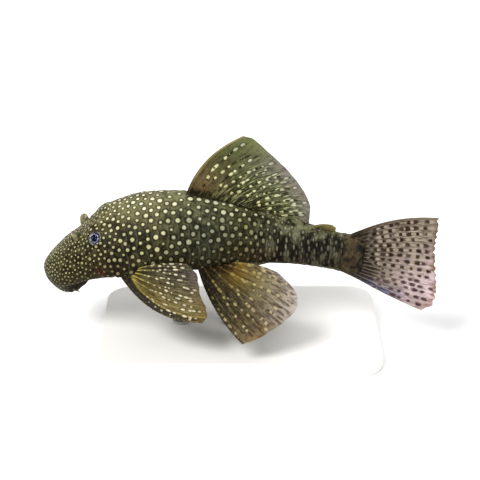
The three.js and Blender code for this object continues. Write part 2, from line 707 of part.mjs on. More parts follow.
// Finishes: wet skin and fins, the lips' soft skin, the eyes, satin paint and satin steel
const FINISHES = {
  headSkin: { color: 0x4b4524, roughness: 0.42, metalness: 0 },
  bodySkin: { color: 0x433e20, roughness: 0.42, metalness: 0 },
  tailSkin: { color: 0x33321f, roughness: 0.42, metalness: 0 },
  lips: { color: 0x5c4a33, roughness: 0.5, metalness: 0 },
  dorsalFin: { color: 0x5a563f, roughness: 0.4, metalness: 0 },
  adiposeFin: { color: 0x5e5829, roughness: 0.4, metalness: 0 },
  tailFin: { color: 0x927f74, roughness: 0.4, metalness: 0 },
  pairedFin: { color: 0x64563b, roughness: 0.4, metalness: 0 },
  eye: { color: 0x1b2036, roughness: 0.12, metalness: 0 },
  paint: { color: 0xe2e2de, roughness: 0.55, metalness: 0 },
  steel: { color: 0xa9a9a7, roughness: 0.35, metalness: 1 },
};

const model = new THREE.Group();
function node(name, solid, finish) {
  const mesh = solid.getMesh();
  const geometry = new THREE.BufferGeometry();
  geometry.setAttribute("position", new THREE.BufferAttribute(mesh.vertProperties, 3));
  geometry.setIndex(new THREE.BufferAttribute(mesh.triVerts, 1));
  const made = new THREE.Mesh(geometry, new THREE.MeshStandardMaterial(finish));
  made.name = name;
  model.add(made);
}
const rooted = (fin) => largest(fin.subtract(clearance));
node("head", headWithFeatures(), FINISHES.headSkin);
node("mouth", mouthSolid(), FINISHES.lips);
node("torso", loft(plateRings(0, PLATES.torsoRings, 0)), FINISHES.bodySkin);
node("tail", loft(plateRings(PLATES.torsoRings, PLATES.rings, 0)), FINISHES.tailSkin);
node("dorsal_fin", rooted(middleFin(DORSAL)), FINISHES.dorsalFin);
node("adipose_fin", rooted(middleFin(ADIPOSE)), FINISHES.adiposeFin);
node("caudal_fin", rooted(middleFin(CAUDAL)), FINISHES.tailFin);
node("anal_fin", rooted(middleFin(ANAL)), FINISHES.pairedFin);
for (const [name, side] of [["left", 1], ["right", -1]]) {
  node(`pectoral_fin_${name}`, rooted(pairedFin(PECTORAL, side)), FINISHES.pairedFin);
  node(`pelvic_fin_${name}`, rooted(pairedFin(PELVIC, side)), FINISHES.pairedFin);
  node(`eye_${name}`, eyeball(side, 0), FINISHES.eye);
}
node("stand_base", baseSolid(), FINISHES.paint);
node("stand_rod_front", rodSolid(ROD.shares[0]), FINISHES.steel);
node("stand_rod_back", rodSolid(ROD.shares[1]), FINISHES.steel);

export default model;
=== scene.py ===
import logging
import math
from dataclasses import dataclass, field
from enum import Enum
from functools import partial
from typing import Callable, Optional, Sequence, Union

import bpy
import numpy as np
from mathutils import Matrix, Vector, kdtree


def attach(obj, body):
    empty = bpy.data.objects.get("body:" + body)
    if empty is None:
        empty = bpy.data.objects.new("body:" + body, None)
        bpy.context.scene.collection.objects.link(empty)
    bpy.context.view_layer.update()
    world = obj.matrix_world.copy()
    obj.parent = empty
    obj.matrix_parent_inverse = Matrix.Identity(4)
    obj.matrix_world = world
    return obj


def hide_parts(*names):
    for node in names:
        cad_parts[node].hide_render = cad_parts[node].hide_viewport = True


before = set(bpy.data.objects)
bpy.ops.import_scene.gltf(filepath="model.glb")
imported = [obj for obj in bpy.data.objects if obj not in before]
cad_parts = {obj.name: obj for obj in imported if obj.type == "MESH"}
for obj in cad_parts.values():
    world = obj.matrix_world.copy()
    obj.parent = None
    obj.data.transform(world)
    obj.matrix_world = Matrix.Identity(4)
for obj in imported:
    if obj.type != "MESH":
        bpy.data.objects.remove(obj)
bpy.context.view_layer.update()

# A female bristlenose pleco (Ancistrus), life size, swimming over a plain display stand. The snout
# points to -X and the fish's left side faces -Y. Shapes are worked out in millimetres, first with
# the fish laid out straight: "along" runs from the snout tip towards the tail, "side" is positive
# to the fish's left, and "height" is up. Pose.bend carries a straight point into the pose.
# A station is a percentage of the standard length along the body, and a turn is a share of the
# half circle round it: 0 at the back, 1 at the middle of the belly.
MM = 0.001
STANDARD_LENGTH = 108.5
TINY = 1e-12
LOG = logging.getLogger("bristlenose")
Pairs = Sequence[tuple[float, ...]]
Stops = Sequence[tuple[float, str]]
Scalar = Union[float, np.ndarray]
Span = tuple[float, float]
Triple = tuple[float, float, float]
Plateau = tuple[float, float, float, float]


def percent(share: Scalar) -> Scalar:
    """Millimetres for a percentage of the standard length."""
    return share * STANDARD_LENGTH / 100


def station_at(along: Scalar) -> Scalar:
    """The station of a place that many millimetres along the fish."""
    return 100 * along / STANDARD_LENGTH


def unit(vectors: np.ndarray) -> np.ndarray:
    """Vectors of any shape (..., 3), each scaled to length one."""
    return vectors / np.maximum(np.linalg.norm(vectors, axis=-1, keepdims=True), TINY)


def smooth(values: np.ndarray, low: float, high: float) -> np.ndarray:
    """Smoothstep: 0 up to low, 1 from high on, with a cubic between them."""
    t = np.clip((values - low) / (high - low), 0, 1)
    return t * t * (3 - 2 * t)


def window(values: np.ndarray, start: float, full: float, fade: float, end: float) -> np.ndarray:
    """A plateau: it rises from 0 to 1 between start and full, and falls between fade and end."""
    return smooth(values, start, full) * (1 - smooth(values, fade, end))


def ring_of(count: int) -> np.ndarray:
    """Evenly spaced angles of a full turn, without its end."""
    return np.linspace(0, 2 * np.pi, count, endpoint=False)


def bell(values: np.ndarray, width: float) -> np.ndarray:
    """Gaussian hump of height one at zero."""
    return np.exp(-((values / width) ** 2))


class Curve:
    """A monotone cubic through [x, y] pairs, level outside them."""

    def __init__(self, pairs: Pairs) -> None:
        """Works out the slopes at the pairs, as weighted harmonic means of the rises beside them.

        Args:
            pairs: The pairs, in the order of x.
        """
        self.x, self.y = np.array(pairs, float).T
        self.step = np.diff(self.x)
        rise = np.diff(self.y) / self.step
        before = 2 * self.step[1:] + self.step[:-1]
        after = self.step[1:] + 2 * self.step[:-1]
        level = rise[:-1] * rise[1:] <= 0
        safe = np.where(np.abs(rise) > TINY, rise, 1.0)
        inner = (before + after) / (before / safe[:-1] + after / safe[1:])
        self.slope = np.concatenate([rise[:1], np.where(level, 0, inner), rise[-1:]])

    def __call__(self, at: Scalar) -> np.ndarray:
        """The curve's height at any array of places.

        Args:
            at: Places of any shape.

        Returns:
            The curve there.
        """
        at = np.clip(np.asarray(at, float), self.x[0], self.x[-1])
        i = np.clip(np.searchsorted(self.x, at, side="right") - 1, 0, len(self.step) - 1)
        t = (at - self.x[i]) / self.step[i]
        flip = 1 - t
        ends = self.y[i] * (1 + 2 * t) * flip * flip + self.y[i + 1] * t * t * (3 - 2 * t)
        bends = self.slope[i] * t * flip * flip - self.slope[i + 1] * t * t * flip
        return ends + self.step[i] * bends


def curve(*pairs: Span) -> Curve:
    """A dataclass field whose value is the curve through these pairs."""
    return field(default_factory=lambda: Curve(pairs))


def curves(rows: Pairs) -> list[Curve]:
    """One curve for each further column of some rows, over their first column."""
    places, *columns = zip(*rows)
    return [Curve(list(zip(places, column))) for column in columns]


class Side(Enum):
    """The two sides of the fish, and their sign in body coordinates."""

    LEFT = 1
    RIGHT = -1


def linear(code: str) -> tuple[float, float, float, float]:
    """A colour code such as #8a876f as linear red, green, blue and alpha.

    Args:
        code: Such as "#8a8358".

    Returns:
        Red, green, blue and 1 for Alpha.
    """
    parts = np.array([int(code[i:i + 2], 16) for i in (1, 3, 5)]) / 255
    parts = np.where(parts <= 0.04045, parts / 12.92, ((parts + 0.055) / 1.055) ** 2.4)
    return (*(float(part) for part in parts), 1.0)


class Wire:
    """A number socket that takes part in Python arithmetic, which adds Math nodes."""

    def __init__(self, bench: "Bench", socket: bpy.types.NodeSocket) -> None:
        """Keeps the socket and the bench that its Math nodes are added to."""
        self.bench = bench
        self.socket = socket

    def _math(self, operation: str, *values: "Number") -> "Wire":
        """One Math node on the given values, in their order."""
        inputs = dict(enumerate(values))
        return self.bench.wire("ShaderNodeMath", {"operation": operation}, inputs)

    def __add__(self, other: "Number") -> "Wire":
        """Sum."""
        return self._math("ADD", self, other)

    def __radd__(self, other: float) -> "Wire":
        """Sum with a number on the left."""
        return self._math("ADD", other, self)

    def __sub__(self, other: "Number") -> "Wire":
        """Difference."""
        return self._math("SUBTRACT", self, other)

    def __rsub__(self, other: float) -> "Wire":
        """A number less this."""
        return self._math("SUBTRACT", other, self)

    def __mul__(self, other: "Number") -> "Wire":
        """Product."""
        return self._math("MULTIPLY", self, other)

    def __rmul__(self, other: float) -> "Wire":
        """Product with a number on the left."""
        return self._math("MULTIPLY", other, self)

    def __truediv__(self, other: "Number") -> "Wire":
        """Quotient."""
        return self._math("DIVIDE", self, other)

    def __pow__(self, other: float) -> "Wire":
        """Power."""
        return self._math("POWER", self, other)

    def most(self, other: "Number") -> "Wire":
        """The larger of the two."""
        return self._math("MAXIMUM", self, other)

    def step(self, low: float, high: float) -> "Wire":
        """Smoothstep from 0 at low to 1 at high, or falling where low is the larger."""
        inputs = {0: self, 1: low, 2: high}
        return self.bench.wire("ShaderNodeMapRange", {"interpolation_type": "SMOOTHSTEP"}, inputs)

    def window(self, start: float, full: float, fade: float, end: float) -> "Wire":
        """A plateau: it rises from 0 to 1 between start and full, and falls between fade and end."""
        return self.step(start, full) * (1 - self.step(fade, end))


Number = Union[Wire, float]
Value = Union[Number, bpy.types.NodeSocket, tuple]


class Bench:
    """The node tree of one material, and the ways of adding to it."""

    def __init__(self, name: str) -> None:
        """Starts an empty node material.

        Args:
            name: Its name.
        """
        self.material = bpy.data.materials.new(name)
        self.material.use_nodes = True
        self.tree = self.material.node_tree
        self.tree.nodes.clear()

    def add(
        self, kind: str, settings: Optional[dict] = None, inputs: Optional[dict] = None
    ) -> bpy.types.Node:
        """Adds a node.

        Args:
            kind: The node's type.
            settings: Properties that are set first, "stops" being a ramp's.
            inputs: Values or links by socket name or number.

        Returns:
            The node.
        """
        node = self.tree.nodes.new(kind)
        for key, value in (settings or {}).items():
            if key == "stops":
                self._set_stops(node.color_ramp, value)
            else:
                setattr(node, key, value)
        for key, value in (inputs or {}).items():
            if isinstance(value, Wire):
                value = value.socket
            if isinstance(value, bpy.types.NodeSocket):
                self.tree.links.new(value, node.inputs[key])
            else:
                node.inputs[key].default_value = value
        return node

    @staticmethod
    def _set_stops(ramp: bpy.types.ColorRamp, stops: Stops) -> None:
        """Sets a colour ramp's stops, their places first, because the ramp sorts by them.

        Args:
            ramp: The ramp, with its first two stops.
            stops: All of its stops.
        """
        for _ in stops[2:]:
            ramp.elements.new(1.0)
        places, codes = zip(*stops)
        for element, place in zip(ramp.elements, places):
            element.position = place
        for element, code in zip(ramp.elements, codes):
            element.color = linear(code)

    def wire(
        self, kind: str, settings: Optional[dict] = None, inputs: Optional[dict] = None,
        output: Union[int, str] = 0,
    ) -> Wire:
        """Adds a node and wraps one of its number outputs."""
        return Wire(self, self.add(kind, settings, inputs).outputs[output])

    def place(self) -> bpy.types.NodeSocket:
        """Object coordinates, in metres."""
        return self.add("ShaderNodeTexCoord").outputs["Object"]

    def attribute(self, name: str) -> Wire:
        """A number attribute of the mesh."""
        return self.wire("ShaderNodeAttribute", {"attribute_name": name}, output="Fac")

    def attribute_vector(self, name: str) -> bpy.types.NodeSocket:
        """A vector attribute of the mesh."""
        return self.add("ShaderNodeAttribute", {"attribute_name": name}).outputs["Vector"]

    def parts(self, vector: bpy.types.NodeSocket) -> tuple[Wire, Wire, Wire]:
        """The three numbers of a vector."""
        node = self.add("ShaderNodeSeparateXYZ", None, {0: vector})
        return tuple(Wire(self, output) for output in node.outputs)

    def vector(self, operation: str, *values: Value) -> bpy.types.NodeSocket:
        """One Vector Math node on the given values, with a vector result."""
        return self.add("ShaderNodeVectorMath", {"operation": operation}, dict(enumerate(values))).outputs[0]

    def measure(self, operation: str, *values: Value) -> Wire:
        """One Vector Math node on the given values, with a number result."""
        inputs = dict(enumerate(values))
        return self.wire("ShaderNodeVectorMath", {"operation": operation}, inputs, "Value")

    def joined(self, *numbers: Number) -> bpy.types.NodeSocket:
        """A vector of up to three numbers."""
        return self.add("ShaderNodeCombineXYZ", None, dict(enumerate(numbers))).outputs[0]

    def stretched(self, vector: Value, scale: tuple[float, float, float]) -> bpy.types.NodeSocket:
        """A vector scaled by axis, for noise that is longer one way."""
        return self.add("ShaderNodeMapping", None, {"Vector": vector, "Scale": scale}).outputs[0]

    def ramp(self, factor: Wire, stops: Stops) -> bpy.types.NodeSocket:
        """A colour from a ramp of (place, colour code) stops."""
        return self.add("ShaderNodeValToRGB", {"stops": stops}, {0: factor}).outputs[0]

    def mix(self, factor: Value, first: Value, second: Union[Value, str]) -> bpy.types.NodeSocket:
        """Two colours mixed: all first at factor 0, all second at 1. The second may be a code."""
        second = linear(second) if isinstance(second, str) else second
        return self.add("ShaderNodeMix", {"data_type": "RGBA"}, {0: factor, 6: first, 7: second}).outputs[2]

    def noise(self, vector: Value, scale: float, detail: float = 2.0, rough: float = 0.5) -> Wire:
        """Noise round a half, its scale in waves a metre of the given vector."""
        inputs = {"Vector": vector, "Scale": scale, "Detail": detail, "Roughness": rough}
        return self.wire("ShaderNodeTexNoise", None, inputs)

    def bump(self, height: Wire, distance: float, strength: float) -> bpy.types.NodeSocket:
        """A normal bent by a height field, whose 0 to 1 is the given distance in metres."""
        inputs = {"Height": height, "Distance": distance, "Strength": strength}
        return self.add("ShaderNodeBump", None, inputs).outputs[0]

    def finish(self, inputs: dict) -> bpy.types.Material:
        """Adds the Principled shader with these values and links, and ends the material.

        Args:
            inputs: Values and links by the shader's socket names.

        Returns:
            The material.
        """
        shader = self.add("ShaderNodeBsdfPrincipled", None, inputs)
        self.add("ShaderNodeOutputMaterial", None, {0: shader.outputs[0]})
        return self.material


def placed(name: str, data: bpy.types.ID) -> bpy.types.Object:
    """A new object in the scene, of a mesh, camera or light.

    Args:
        name: Its name.
        data: Its mesh, camera or light.

    Returns:
        The object.
    """
    made = bpy.data.objects.new(name, data)
    bpy.context.scene.collection.objects.link(made)
    return made


WELD_DIGITS = 5


@dataclass
class Shell:
    """Vertices, faces and attributes of a surface in millimetres.

    Attributes are (domain, values) by name, with one number or three for each vertex or face.
    """

    points: np.ndarray
    faces: list
    attributes: dict = field(default_factory=dict)

    @staticmethod
    def grid(points: np.ndarray, closed: bool, caps: bool = True) -> "Shell":
        """A surface from rings of points, shape (rings, places, 3).

        Args:
            points: The rings in order.
            closed: Whether each ring joins up with itself.
            caps: Whether the first and the last ring are closed to their middles.

        Returns:
            The shell, with one quad for each cell and one fan for each cap.
        """
        rings, places = points.shape[:2]
        index = np.arange(rings * places).reshape(rings, places)
        after = np.roll(index, -1, axis=1)
        if not closed:
            index, after = index[:, :-1], after[:, :-1]
        quads = np.stack([index[:-1], index[1:], after[1:], after[:-1]], -1).reshape(-1, 4)
        faces = quads.tolist()
        vertices = points.reshape(-1, 3)
        if closed and caps:
            first, last = len(vertices), len(vertices) + 1
            vertices = np.concatenate([vertices, points[:1].mean(1), points[-1:].mean(1)])
            start = np.stack([np.full(places, first), index[0], after[0]], -1)
            end = np.stack([np.full(places, last), after[-1], index[-1]], -1)
            faces += start.tolist() + end.tolist()
        return Shell(vertices, faces)

    def corners(self) -> np.ndarray:
        """Four corner numbers of every face, the last repeated on a triangle."""
        return np.array([face if len(face) == 4 else [*face, face[-1]] for face in self.faces])

    def middles(self) -> np.ndarray:
        """The middle of every face."""
        return self.points[self.corners()].mean(1)

    def volume(self) -> float:
        """Signed volume, positive where the faces point outwards."""
        a, b, c, d = (self.points[column] for column in self.corners().T)
        return float((np.cross(a, b) * c).sum() + (np.cross(a, c) * d).sum()) / 6

    def outward(self) -> "Shell":
        """The same closed shell with its faces pointing out.

        Returns:
            Itself.
        """
        if self.volume() < 0:
            self.faces = [face[::-1] for face in self.faces]
        return self

    def welded(self) -> "Shell":
        """The same surface with its points that lie on each other joined.

        Returns:
            A new shell, without attributes.
        """
        places = self.points.round(WELD_DIGITS)
        _, first, number = np.unique(places, axis=0, return_index=True, return_inverse=True)
        number = number.ravel()
        return Shell(self.points[first], [[int(number[corner]) for corner in face] for face in self.faces])

    def piece(self, name: str, material: bpy.types.Material, slot: str, *stands_for: str) -> bpy.types.Object:
        """Makes the Blender object.

        Args:
            name: The object's name.
            material: Its finish.
            slot: A material slot's name; it is not used.
            stands_for: The CAD nodes that it replaces.

        Returns:
            The object, riding on the body, with smooth shading.
        """
        mesh = bpy.data.meshes.new(name)
        mesh.from_pydata((self.points * MM).tolist(), [], self.faces)
        for key, (domain, values) in self.attributes.items():
            flat = np.ascontiguousarray(values, np.float32)
            kind, target = ("FLOAT_VECTOR", "vector") if flat.ndim == 2 else ("FLOAT", "value")
            mesh.attributes.new(key, kind, domain).data.foreach_set(target, flat.ravel())
        mesh.polygons.foreach_set("use_smooth", np.ones(len(mesh.polygons), bool))
        mesh.materials.append(material)
        mesh.update()
        made = placed(name, mesh)
        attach(made, "root")
        if stands_for:
            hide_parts(*stands_for)
        LOG.info("%s: %d faces", name, len(mesh.polygons))
        return made


@dataclass
class Pose:
    """How the body bends: its axis climbs and turns along the way, through a fixed anchor."""

    climb: Curve = curve(
        (0, 16), (12, 14), (26, 8), (44, 2), (60, -2), (76, -5), (92, -7), (104, -6), (130, -5),
    )
    turn: Curve = curve(
        (0, 8), (25, 7), (45, 3), (65, 3), (90, 11), (110, 14), (130, 16),
    )
    anchor_station: float = 46.0
    anchor: Triple = (-20.6, 1.5, 38.9)
    axis_length: float = 1.5 * STANDARD_LENGTH
    axis_step: float = 0.5

    def __post_init__(self) -> None:
        """Adds the axis up in short steps, and moves it so that it passes through the anchor."""
        places = np.arange(0, self.axis_length, self.axis_step)
        steps = self.directions(places + self.axis_step / 2)[0] * self.axis_step
        self.table = np.concatenate([np.zeros((1, 3)), np.cumsum(steps, 0)])
        self.shift = np.array(self.anchor) - self._on_axis(np.array(percent(self.anchor_station)))

    def directions(self, along: np.ndarray) -> tuple[np.ndarray, np.ndarray, np.ndarray]:
        """Backward, leftward and upward directions of the body at places along it.

        Args:
            along: Millimetres from the snout tip.

        Returns:
            The three directions, each (..., 3).
        """
        station = station_at(np.asarray(along))
        climb, turn = np.radians(self.climb(station)), np.radians(self.turn(station))
        level = np.cos(climb)
        back = np.stack([level * np.cos(turn), -level * np.sin(turn), np.sin(climb)], -1)
        left = np.stack([-np.sin(turn), -np.cos(turn), np.zeros_like(turn)], -1)
        return back, left, np.cross(left, back)

    def _on_axis(self, along: np.ndarray) -> np.ndarray:
        """Points of the axis by straight interpolation, run on straight ahead of the snout.

        Args:
            along: Millimetres from the snout tip.

        Returns:
            Points, (..., 3).
        """
        short_of_last = len(self.table) - 1.001
        place = np.clip(along / self.axis_step, 0, short_of_last)
        low = np.floor(place).astype(int)
        part = (place - low)[..., None]
        points = self.table[low] * (1 - part) + self.table[low + 1] * part
        ahead = np.minimum(along, 0)[..., None]
        return points + ahead * self.directions(np.zeros_like(along))[0]

    def bend(self, points: np.ndarray) -> np.ndarray:
        """Carries straight points (..., 3) into the pose.

        Args:
            points: Straight points, (..., 3).

        Returns:
            The points in the pose.
        """
        along, side, height = (points[..., i] for i in range(3))
        _, left, up = self.directions(along)
        origin = self._on_axis(along) + self.shift
        return origin + left * side[..., None] + up * height[..., None]


@dataclass(frozen=True)
class Swelling:
    """A low hump of the skin on both sides: where, how high and how wide, in millimetres."""

    station: float
    turn: float
    height: float
    reach: float


EYE_STATION, EYE_TURN = 23.0, 0.27
NOSTRIL_STATION, NOSTRIL_TURN = 15.4, 0.15
BROW_STATION, BROW_TURN = 21.6, 0.185
CHEEK_STATION, CHEEK_TURN = 23.0, 0.5


@dataclass
class Body:
    """The smooth body: a superellipse section that changes along the fish, and low swellings."""

    half_width: Curve = curve(
        (0, 12.0), (5, 12.6), (12, 13.7), (20, 14.8), (28, 15.8), (34, 16.0),
        (46, 14.2), (57, 11.0), (70, 7.4), (83, 4.9), (95, 3.4), (100, 3.0),
    )
    top: Curve = curve(
        (0, -3.1), (4, -1.5), (9, 1.5), (15, 4.2), (20, 7.7), (28, 11.7), (36, 13.5),
        (46, 13.8), (57, 12.0), (70, 9.1), (83, 7.0), (95, 5.6), (100, 5.9),
    )
    bottom: Curve = curve(
        (0, -10.4), (5, -11.1), (10, -10.6), (17, -9.3), (26, -8.8), (46, -8.8), (57, -8.6),
        (70, -7.7), (83, -6.9), (95, -6.7), (100, -7.3),
    )
    widest: Curve = curve(
        (0, 0.34), (12, 0.24), (30, 0.22), (46, 0.27), (70, 0.38), (90, 0.46), (100, 0.48),
    )
    back_power: Curve = curve(
        (0, 2.3), (8, 2.0), (18, 1.8), (30, 1.8), (60, 1.85), (85, 2.0), (100, 2.2),
    )
    belly_power: Curve = curve(
        (0, 2.6), (12, 3.6), (50, 3.6), (75, 2.8), (100, 2.2),
    )
    width_round: float = 12.0
    height_round: float = 5.2
    tip_height: float = -5.7
    swellings: tuple[Swelling, ...] = (
        Swelling(EYE_STATION, EYE_TURN, 1.2, 3.0),
        Swelling(BROW_STATION, BROW_TURN, 1.3, 2.2),
        Swelling(NOSTRIL_STATION, NOSTRIL_TURN, 0.3, 2.4),
        Swelling(CHEEK_STATION, CHEEK_TURN, 0.6, 6.0),
    )
    pose: Pose = field(default_factory=Pose)

    @staticmethod
    def _rounding(share: np.ndarray) -> np.ndarray:
        """A quarter circle that rises from 0 at share 0 to 1 at share 1."""
        return np.sqrt(1 - (1 - np.clip(share, 0, 1)) ** 2)

    def section(self, along: np.ndarray, angle: np.ndarray) -> np.ndarray:
        """Straight points of the smooth body.

        Each section is half a superellipse above its widest line and another below it, and the
        snout rounds off in width and height towards its tip.

        Args:
            along: Millimetres from the snout tip.
            angle: Radians from the back, positive to the left.

        Returns:
            The points, (..., 3).
        """
        along, angle = np.broadcast_arrays(np.asarray(along, float), angle)
        station = station_at(along)
        high = self._rounding(along / percent(self.height_round))
        tip = percent(self.tip_height)
        top = tip + (percent(self.top(station)) - tip) * high
        bottom = tip + (percent(self.bottom(station)) - tip) * high
        width = percent(self.half_width(station)) * self._rounding(along / percent(self.width_round))
        widest = bottom + (top - bottom) * self.widest(station)
        sine, cosine = np.sin(angle), np.cos(angle)
        upper = cosine >= 0
        exponent = 2 / np.where(upper, self.back_power(station), self.belly_power(station))
        reach = np.where(upper, top - widest, widest - bottom)
        side = width * np.sign(sine) * np.abs(sine) ** exponent
        height = widest + reach * np.sign(cosine) * np.abs(cosine) ** exponent
        return np.stack([along, side, height], -1)

    def outward(self, along: np.ndarray, angle: np.ndarray) -> np.ndarray:
        """Straight outward directions, from short differences along and round the body.

        Args:
            along: Millimetres from the snout tip.
            angle: Radians from the back, positive to the left.

        Returns:
            Directions of length one.
        """
        ahead, beside = 0.05, 0.01
        before = np.maximum(np.asarray(along, float) - ahead, 0)
        a = self.section(along + ahead, angle) - self.section(before, angle)
        t = self.section(along, angle + beside) - self.section(along, angle - beside)
        return unit(np.cross(a, t))

    def relief(self, along: np.ndarray, angle: np.ndarray) -> np.ndarray:
        """Height of the swellings, each a Gaussian hump.

        Args:
            along: Millimetres from the snout tip.
            angle: Radians from the back, positive to the left.

        Returns:
            Millimetres.
        """
        radius = percent(self.half_width(station_at(along)))
        height = np.zeros(np.broadcast(along, angle).shape)
        for swelling in self.swellings:
            ahead = along - percent(swelling.station)
            around = (np.abs(angle) - np.pi * swelling.turn) * radius
            distance = ahead**2 + around**2
            height = height + swelling.height * np.exp(-distance / (2 * swelling.reach**2))
        return height

    def straight(self, along: np.ndarray, angle: np.ndarray, lift: Scalar = 0.0) -> np.ndarray:
        """Straight points of the skin, lifted off it by some millimetres."""
        raised = self.relief(along, angle) + lift
        return self.section(along, angle) + self.outward(along, angle) * raised[..., None]

    def skin(self, along: np.ndarray, angle: np.ndarray, lift: Scalar = 0.0) -> np.ndarray:
        """Points of the skin in the pose."""
        return self.pose.bend(self.straight(along, angle, lift))

    def seat(self, station: float, turn: float, side: Side, lift: float = 0.0) -> np.ndarray:
        """A frame on the skin: a 4 by 3 array of its point, and the directions out of the skin,
        tailwards along it and across.

        Args:
            station: The station of the place.
            turn: Its turn.
            side: The fish's side.
            lift: Millimetres off the skin.

        Returns:
            The four rows.
        """
        along, angle = np.array(percent(station)), np.array(side.value * turn * np.pi)
        at = self.skin(along, angle, lift)
        out = unit(self.skin(along, angle, lift + 1) - at)
        ahead = self.skin(along + 1, angle, lift) - at
        tailwards = unit(ahead - out * (ahead @ out))
        return np.stack([at, out, tailwards, np.cross(out, tailwards)])


@dataclass
class Armour:
    """Rings of bony plates behind the head, five rows a side, that overlap tailwards."""

    first: float = 28.5
    rings: int = 24
    rows: int = 5
    bulge: float = 0.55
    process: float = 2.4
    process_width: float = 0.16
    lean: float = 1.5
    fade_rings: float = 5.0
    height: float = 0.16
    front_height: float = 0.2
    rise_power: float = 1.5
    border_dip: float = 0.6
    border_width: float = 0.09
    belly_fade: Span = (0.94, 1.06)
    nape_fade: Span = (-0.2, 0.8)
    lower_edge: Curve = curve(
        (0, 0.66), (50, 0.67), (68, 0.8), (80, 1), (100, 1),
    )

    @property
    def pitch(self) -> float:
        """Stations from one ring to the next."""
        return (100 - self.first) / self.rings

    def shift(self, number: np.ndarray, across: np.ndarray) -> np.ndarray:
        """Millimetres by which a plate edge lies behind its ring: each edge bulges back, the ring
        reaches back along the spine and leans back on its way down, and this fades by the tail.

        Args:
            number: Ring numbers, whole at the front of each ring.
            across: Shares of the way down the plated side.

        Returns:
            Millimetres.
        """
        bulge = self.bulge * np.sin(np.pi * ((across * self.rows) % 1))
        process = self.process * bell(across, self.process_width)
        fade = np.minimum(1, (self.rings - number) / self.fade_rings)
        return fade * (bulge + process + self.lean * across)

    def relief(self, number: np.ndarray, across: np.ndarray) -> np.ndarray:
        """Height of the plates: each rises towards its rear edge, where it drops to the next one,
        and dips at the borders between the rows. It fades in behind the head and out on the belly.

        Args:
            number: Ring numbers, whole at the front of each ring.
            across: Shares of the way down the plated side.

        Returns:
            Millimetres.
        """
        part = number % 1
        rise = self.front_height + (1 - self.front_height) * part**self.rise_power
        border = np.abs(((across * self.rows + 0.5) % 1) - 0.5)
        dip = 1 - self.border_dip * bell(border, self.border_width)
        edge = 1 - smooth(across, *self.belly_fade)
        behind = smooth(number, *self.nape_fade)
        return self.height * rise * dip * edge * behind


@dataclass
class Spots:
    """Round pale spots scattered over the skin, never nearer than their spacing."""

    spacing: Curve = curve(
        (0, 1.1), (8, 1.16), (15, 1.3), (22, 1.5), (30, 1.82), (40, 2.3), (55, 2.5), (75, 2.0),
        (100, 1.7),
    )
    radius: Curve = curve(
        (0, 0.3), (8, 0.32), (15, 0.36), (22, 0.43), (30, 0.54), (40, 0.64), (55, 0.7), (75, 0.66),
        (100, 0.6),
    )
    size_spread: float = 0.15
    size_limits: Span = (0.6, 1.3)
    candidates: int = 60000
    evenings: int = 2
    evening_share: float = 0.6
    seed: int = 11

    def scatter(self, shell: Shell, stations: np.ndarray, bare: np.ndarray) -> tuple[np.ndarray, np.ndarray]:
        """Draws the spots.

        Places are drawn evenly over the skin's area, and each is kept unless an earlier one that
        was kept lies within its spacing.

        Args:
            shell: The skin.
            stations: The station of every face.
            bare: True for the faces without spots.

        Returns:
            The spots' middles (n, 3) and their radius and tone (n, 2), in millimetres.
        """
        draw = np.random.default_rng(self.seed)
        corners = shell.points[shell.corners()]
        diagonals = np.cross(corners[:, 2] - corners[:, 0], corners[:, 3] - corners[:, 1])
        weight = np.where(bare, 0, np.linalg.norm(diagonals, axis=1)) / self.spacing(stations) ** 2
        picked = draw.choice(len(corners), self.candidates, p=weight / weight.sum())
        share = draw.random((self.candidates, 2, 1))
        top = corners[picked, 0] * (1 - share[:, 0]) + corners[picked, 1] * share[:, 0]
        low = corners[picked, 3] * (1 - share[:, 0]) + corners[picked, 2] * share[:, 0]
        points = top * (1 - share[:, 1]) + low * share[:, 1]
        apart = self.spacing(stations[picked])
        tree = kdtree.KDTree(len(points))
        for number, point in enumerate(points.tolist()):
            tree.insert(point, number)
        tree.balance()
        free = np.ones(len(points), bool)
        kept = []
        for number in range(len(points)):
            if free[number]:
                kept.append(number)
                near = [found[1] for found in tree.find_range(points[number], apart[number])]
                free[near] = False
        middles = self._evened(points[kept], shell.middles(), weight)
        size = np.clip(draw.normal(1, self.size_spread, len(kept)), *self.size_limits)
        size = self.radius(stations[picked[kept]]) * size
        return middles, np.stack([size, draw.random(len(kept))], -1)

    def attach(self, shell: Shell, stations: np.ndarray, bare: np.ndarray) -> int:
        """Scatters the spots and gives every face its nearest one; returns their number.

        Args:
            shell: The surface.
            stations: The station of every face.
            bare: True for the faces without spots.

        Returns:
            The number of spots.
        """
        spots, sizes = self.scatter(shell, stations, bare)
        number = nearest(shell.middles(), spots)
        shell.attributes["spot_middle"] = ("FACE", spots[number] * MM)
        shell.attributes["spot_radius"] = ("FACE", sizes[number, 0])
        shell.attributes["spot_tone"] = ("FACE", sizes[number, 1])
        return len(spots)

    def _evened(self, middles: np.ndarray, places: np.ndarray, weight: np.ndarray) -> np.ndarray:
        """Moves every spot towards the weighted middle of the faces that are nearest to it, a few
        times over, which evens out their distances.

        Args:
            middles: The spots' middles.
            places: The faces' middles.
            weight: The faces' weights.

        Returns:
            The new middles.
        """
        for _ in range(self.evenings):
            number = nearest(places, middles)
            total = np.maximum(np.bincount(number, weight, len(middles)), TINY)
            sums = [np.bincount(number, weight * places[:, axis], len(middles)) for axis in range(3)]
            target = np.stack(sums, -1) / total[:, None]
            middles = middles + (target - middles) * self.evening_share
        return middles


PLACES_AT_ONCE = 8000


